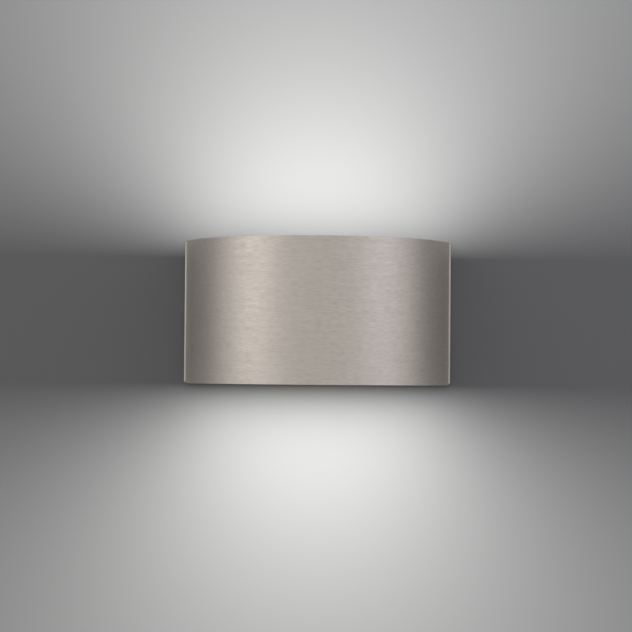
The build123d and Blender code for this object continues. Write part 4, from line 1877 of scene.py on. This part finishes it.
@dataclass
class Studio:
    """Wall, floor, lamps, world and camera: everything round the wall light."""

    wall_size: float = 3.0
    wall_gap: float = 0.2 * MM
    opening_inset: float = 4 * MM       # wall's opening behind the pan, so that the pan's back is lit
    floor_level: float = -0.6
    ambient: float = 0.7
    camera_distance: float = 1.715
    camera_height: float = -0.0486
    camera_side: float = -0.00088
    camera_pitch: float = 1.54
    camera_roll: float = -0.477
    lens: float = 115.82
    glow_width: float = 200 * MM
    glow_length: float = 48 * MM
    glow_depth: float = 40 * MM
    glow_power: float = 185
    glow_colour: str = "#fffffd"
    up_glow_level: float = 46 * MM
    down_glow_level: float = -60 * MM
    soft_boxes: tuple[SoftBox, ...] = (
        SoftBox("left_soft_box", -55, 1.1, 0.6, 1.1, "#fbfbff", 2.8, lift=0.5),
        SoftBox("right_soft_box", 55, 1.1, 0.6, 1.1, "#e0e6ff", 2.1, lift=0.5),
    )

    def build(self) -> None:
        """Set up the studio."""
        wall = self.backdrop()
        self.world()
        for box in self.soft_boxes:
            box.place()
        self.lamp_glow("up_glow", Facing.UP, self.up_glow_level, wall)
        self.lamp_glow("down_glow", Facing.DOWN, self.down_glow_level, wall)
        self.camera()
        bpy.context.scene.view_settings.view_transform = "Standard"

    def backdrop(self) -> bpy.types.Collection:
        """The wall, open behind the pan, and a pale floor well below the lamp.

        Returns:
            A collection of the wall alone, for light that falls on nothing else.
        """
        low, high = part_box("base_pan")
        half = self.wall_size / 2
        draft = Draft()
        frame_outer = [(-half, self.floor_level), (half, self.floor_level), (half, half), (-half, half)]
        inset = self.opening_inset
        frame_inner = [
            (low.x + inset, low.z + inset),
            (high.x - inset, low.z + inset),
            (high.x - inset, high.z - inset),
            (low.x + inset, high.z - inset),
        ]
        rings = [
            [Vector((x, self.wall_gap, z)) for x, z in corners] for corners in (frame_outer, frame_inner)
        ]
        draft.loft(rings, caps=False)
        wall = draft.object("studio_wall", [PaintedWall("matt_emulsion", "#656565", roughness=0.6)])
        face_room(wall.data)
        ground = Draft()
        ground.points = [
            Vector((-half, -self.wall_size, self.floor_level)),
            Vector((half, -self.wall_size, self.floor_level)),
            Vector((half, half, self.floor_level)),
            Vector((-half, half, self.floor_level)),
        ]
        ground.faces = [(0, 1, 2, 3)]
        ground.finish_of = [0]
        floor = ground.object("studio_floor", [StovedEnamel("pale_floor", "#d8d7d4", roughness=0.6, coat=0)])
        lit = bpy.data.collections.new("lit_by_glow")
        lit.objects.link(wall)
        return lit

    def world(self) -> None:
        """Even, neutral light from all round."""
        world = bpy.data.worlds.new("studio_light")
        world.use_nodes = True
        tree = world.node_tree
        tree.nodes.clear()
        light = add_node(
            tree, "ShaderNodeBackground", {"Color": linear("#fdfdfe"), "Strength": self.ambient}
        )
        add_node(tree, "ShaderNodeOutputWorld", links={"Surface": light.outputs[0]})
        bpy.context.scene.world = world

    def lamp_glow(self, name: str, facing: Facing, level: float, lit: bpy.types.Collection) -> None:
        """The light that one end of the lamp throws on the wall.

        Args:
            name: The lamp's name.
            facing: Which way it shines.
            level: Height that it shines from.
            lit: What it falls on.
        """
        lamp = bpy.data.lights.new(name, "AREA")
        lamp.shape = "RECTANGLE"
        lamp.size = self.glow_width
        lamp.size_y = self.glow_length
        lamp.energy = self.glow_power
        lamp.color = linear(self.glow_colour)[:3]
        lamp.use_nodes = True
        tree = lamp.node_tree
        tree.nodes.clear()
        # Light that falls off slowly, as a glow does in a room whose ceiling and floor return it.
        slow = add_node(tree, "ShaderNodeLightFalloff", {"Strength": 1.0})
        light = add_node(tree, "ShaderNodeEmission", links={"Strength": slow.outputs["Constant"]})
        add_node(tree, "ShaderNodeOutputLight", links={"Surface": light.outputs[0]})
        holder = bpy.data.objects.new(name, lamp)
        holder.location = (0, -self.glow_depth, level)
        holder.rotation_mode = "QUATERNION"
        holder.rotation_quaternion = Vector(facing.value).to_track_quat("-Z", "Y")
        holder.visible_camera = False
        holder.visible_glossy = False
        holder.light_linking.receiver_collection = lit
        holder.light_linking.blocker_collection = lit
        bpy.context.scene.collection.objects.link(holder)

    def camera(self) -> None:
        """The camera, at the photograph's viewing angle."""
        data = bpy.data.cameras.new("studio_camera")
        data.lens = self.lens
        camera = bpy.data.objects.new("studio_camera", data)
        camera.location = (self.camera_side, -self.camera_distance, self.camera_height)
        camera.rotation_euler = (
            math.radians(90 + self.camera_pitch),
            math.radians(self.camera_roll),
            0,
        )
        bpy.context.scene.collection.objects.link(camera)
        bpy.context.scene.camera = camera


def face_room(mesh: bpy.types.Mesh) -> None:
    """Turn a mesh's faces so that they look out of the wall."""
    for polygon in mesh.polygons:
        if polygon.normal.y > 0:
            polygon.flip()


def report(assembly: Assembly) -> None:
    """Log each piece of a sub-assembly with the body that it moves with."""
    for piece in assembly.pieces:
        log.info("%s: %s rides on %s", type(assembly).__name__, piece.name, piece["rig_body"])


def main() -> None:
    """Build the lamp's looks, one sub-assembly after the other, and the studio round it."""
    logging.basicConfig(level=logging.INFO, format="%(message)s")
    for assembly in (Shade(), WallPan(), LightTrays(), Driver(), Terminals(), Wiring(), ThumbScrews()):
        assembly.build()
        report(assembly)
    Studio().build()


if __name__ == "__main__":
    main()
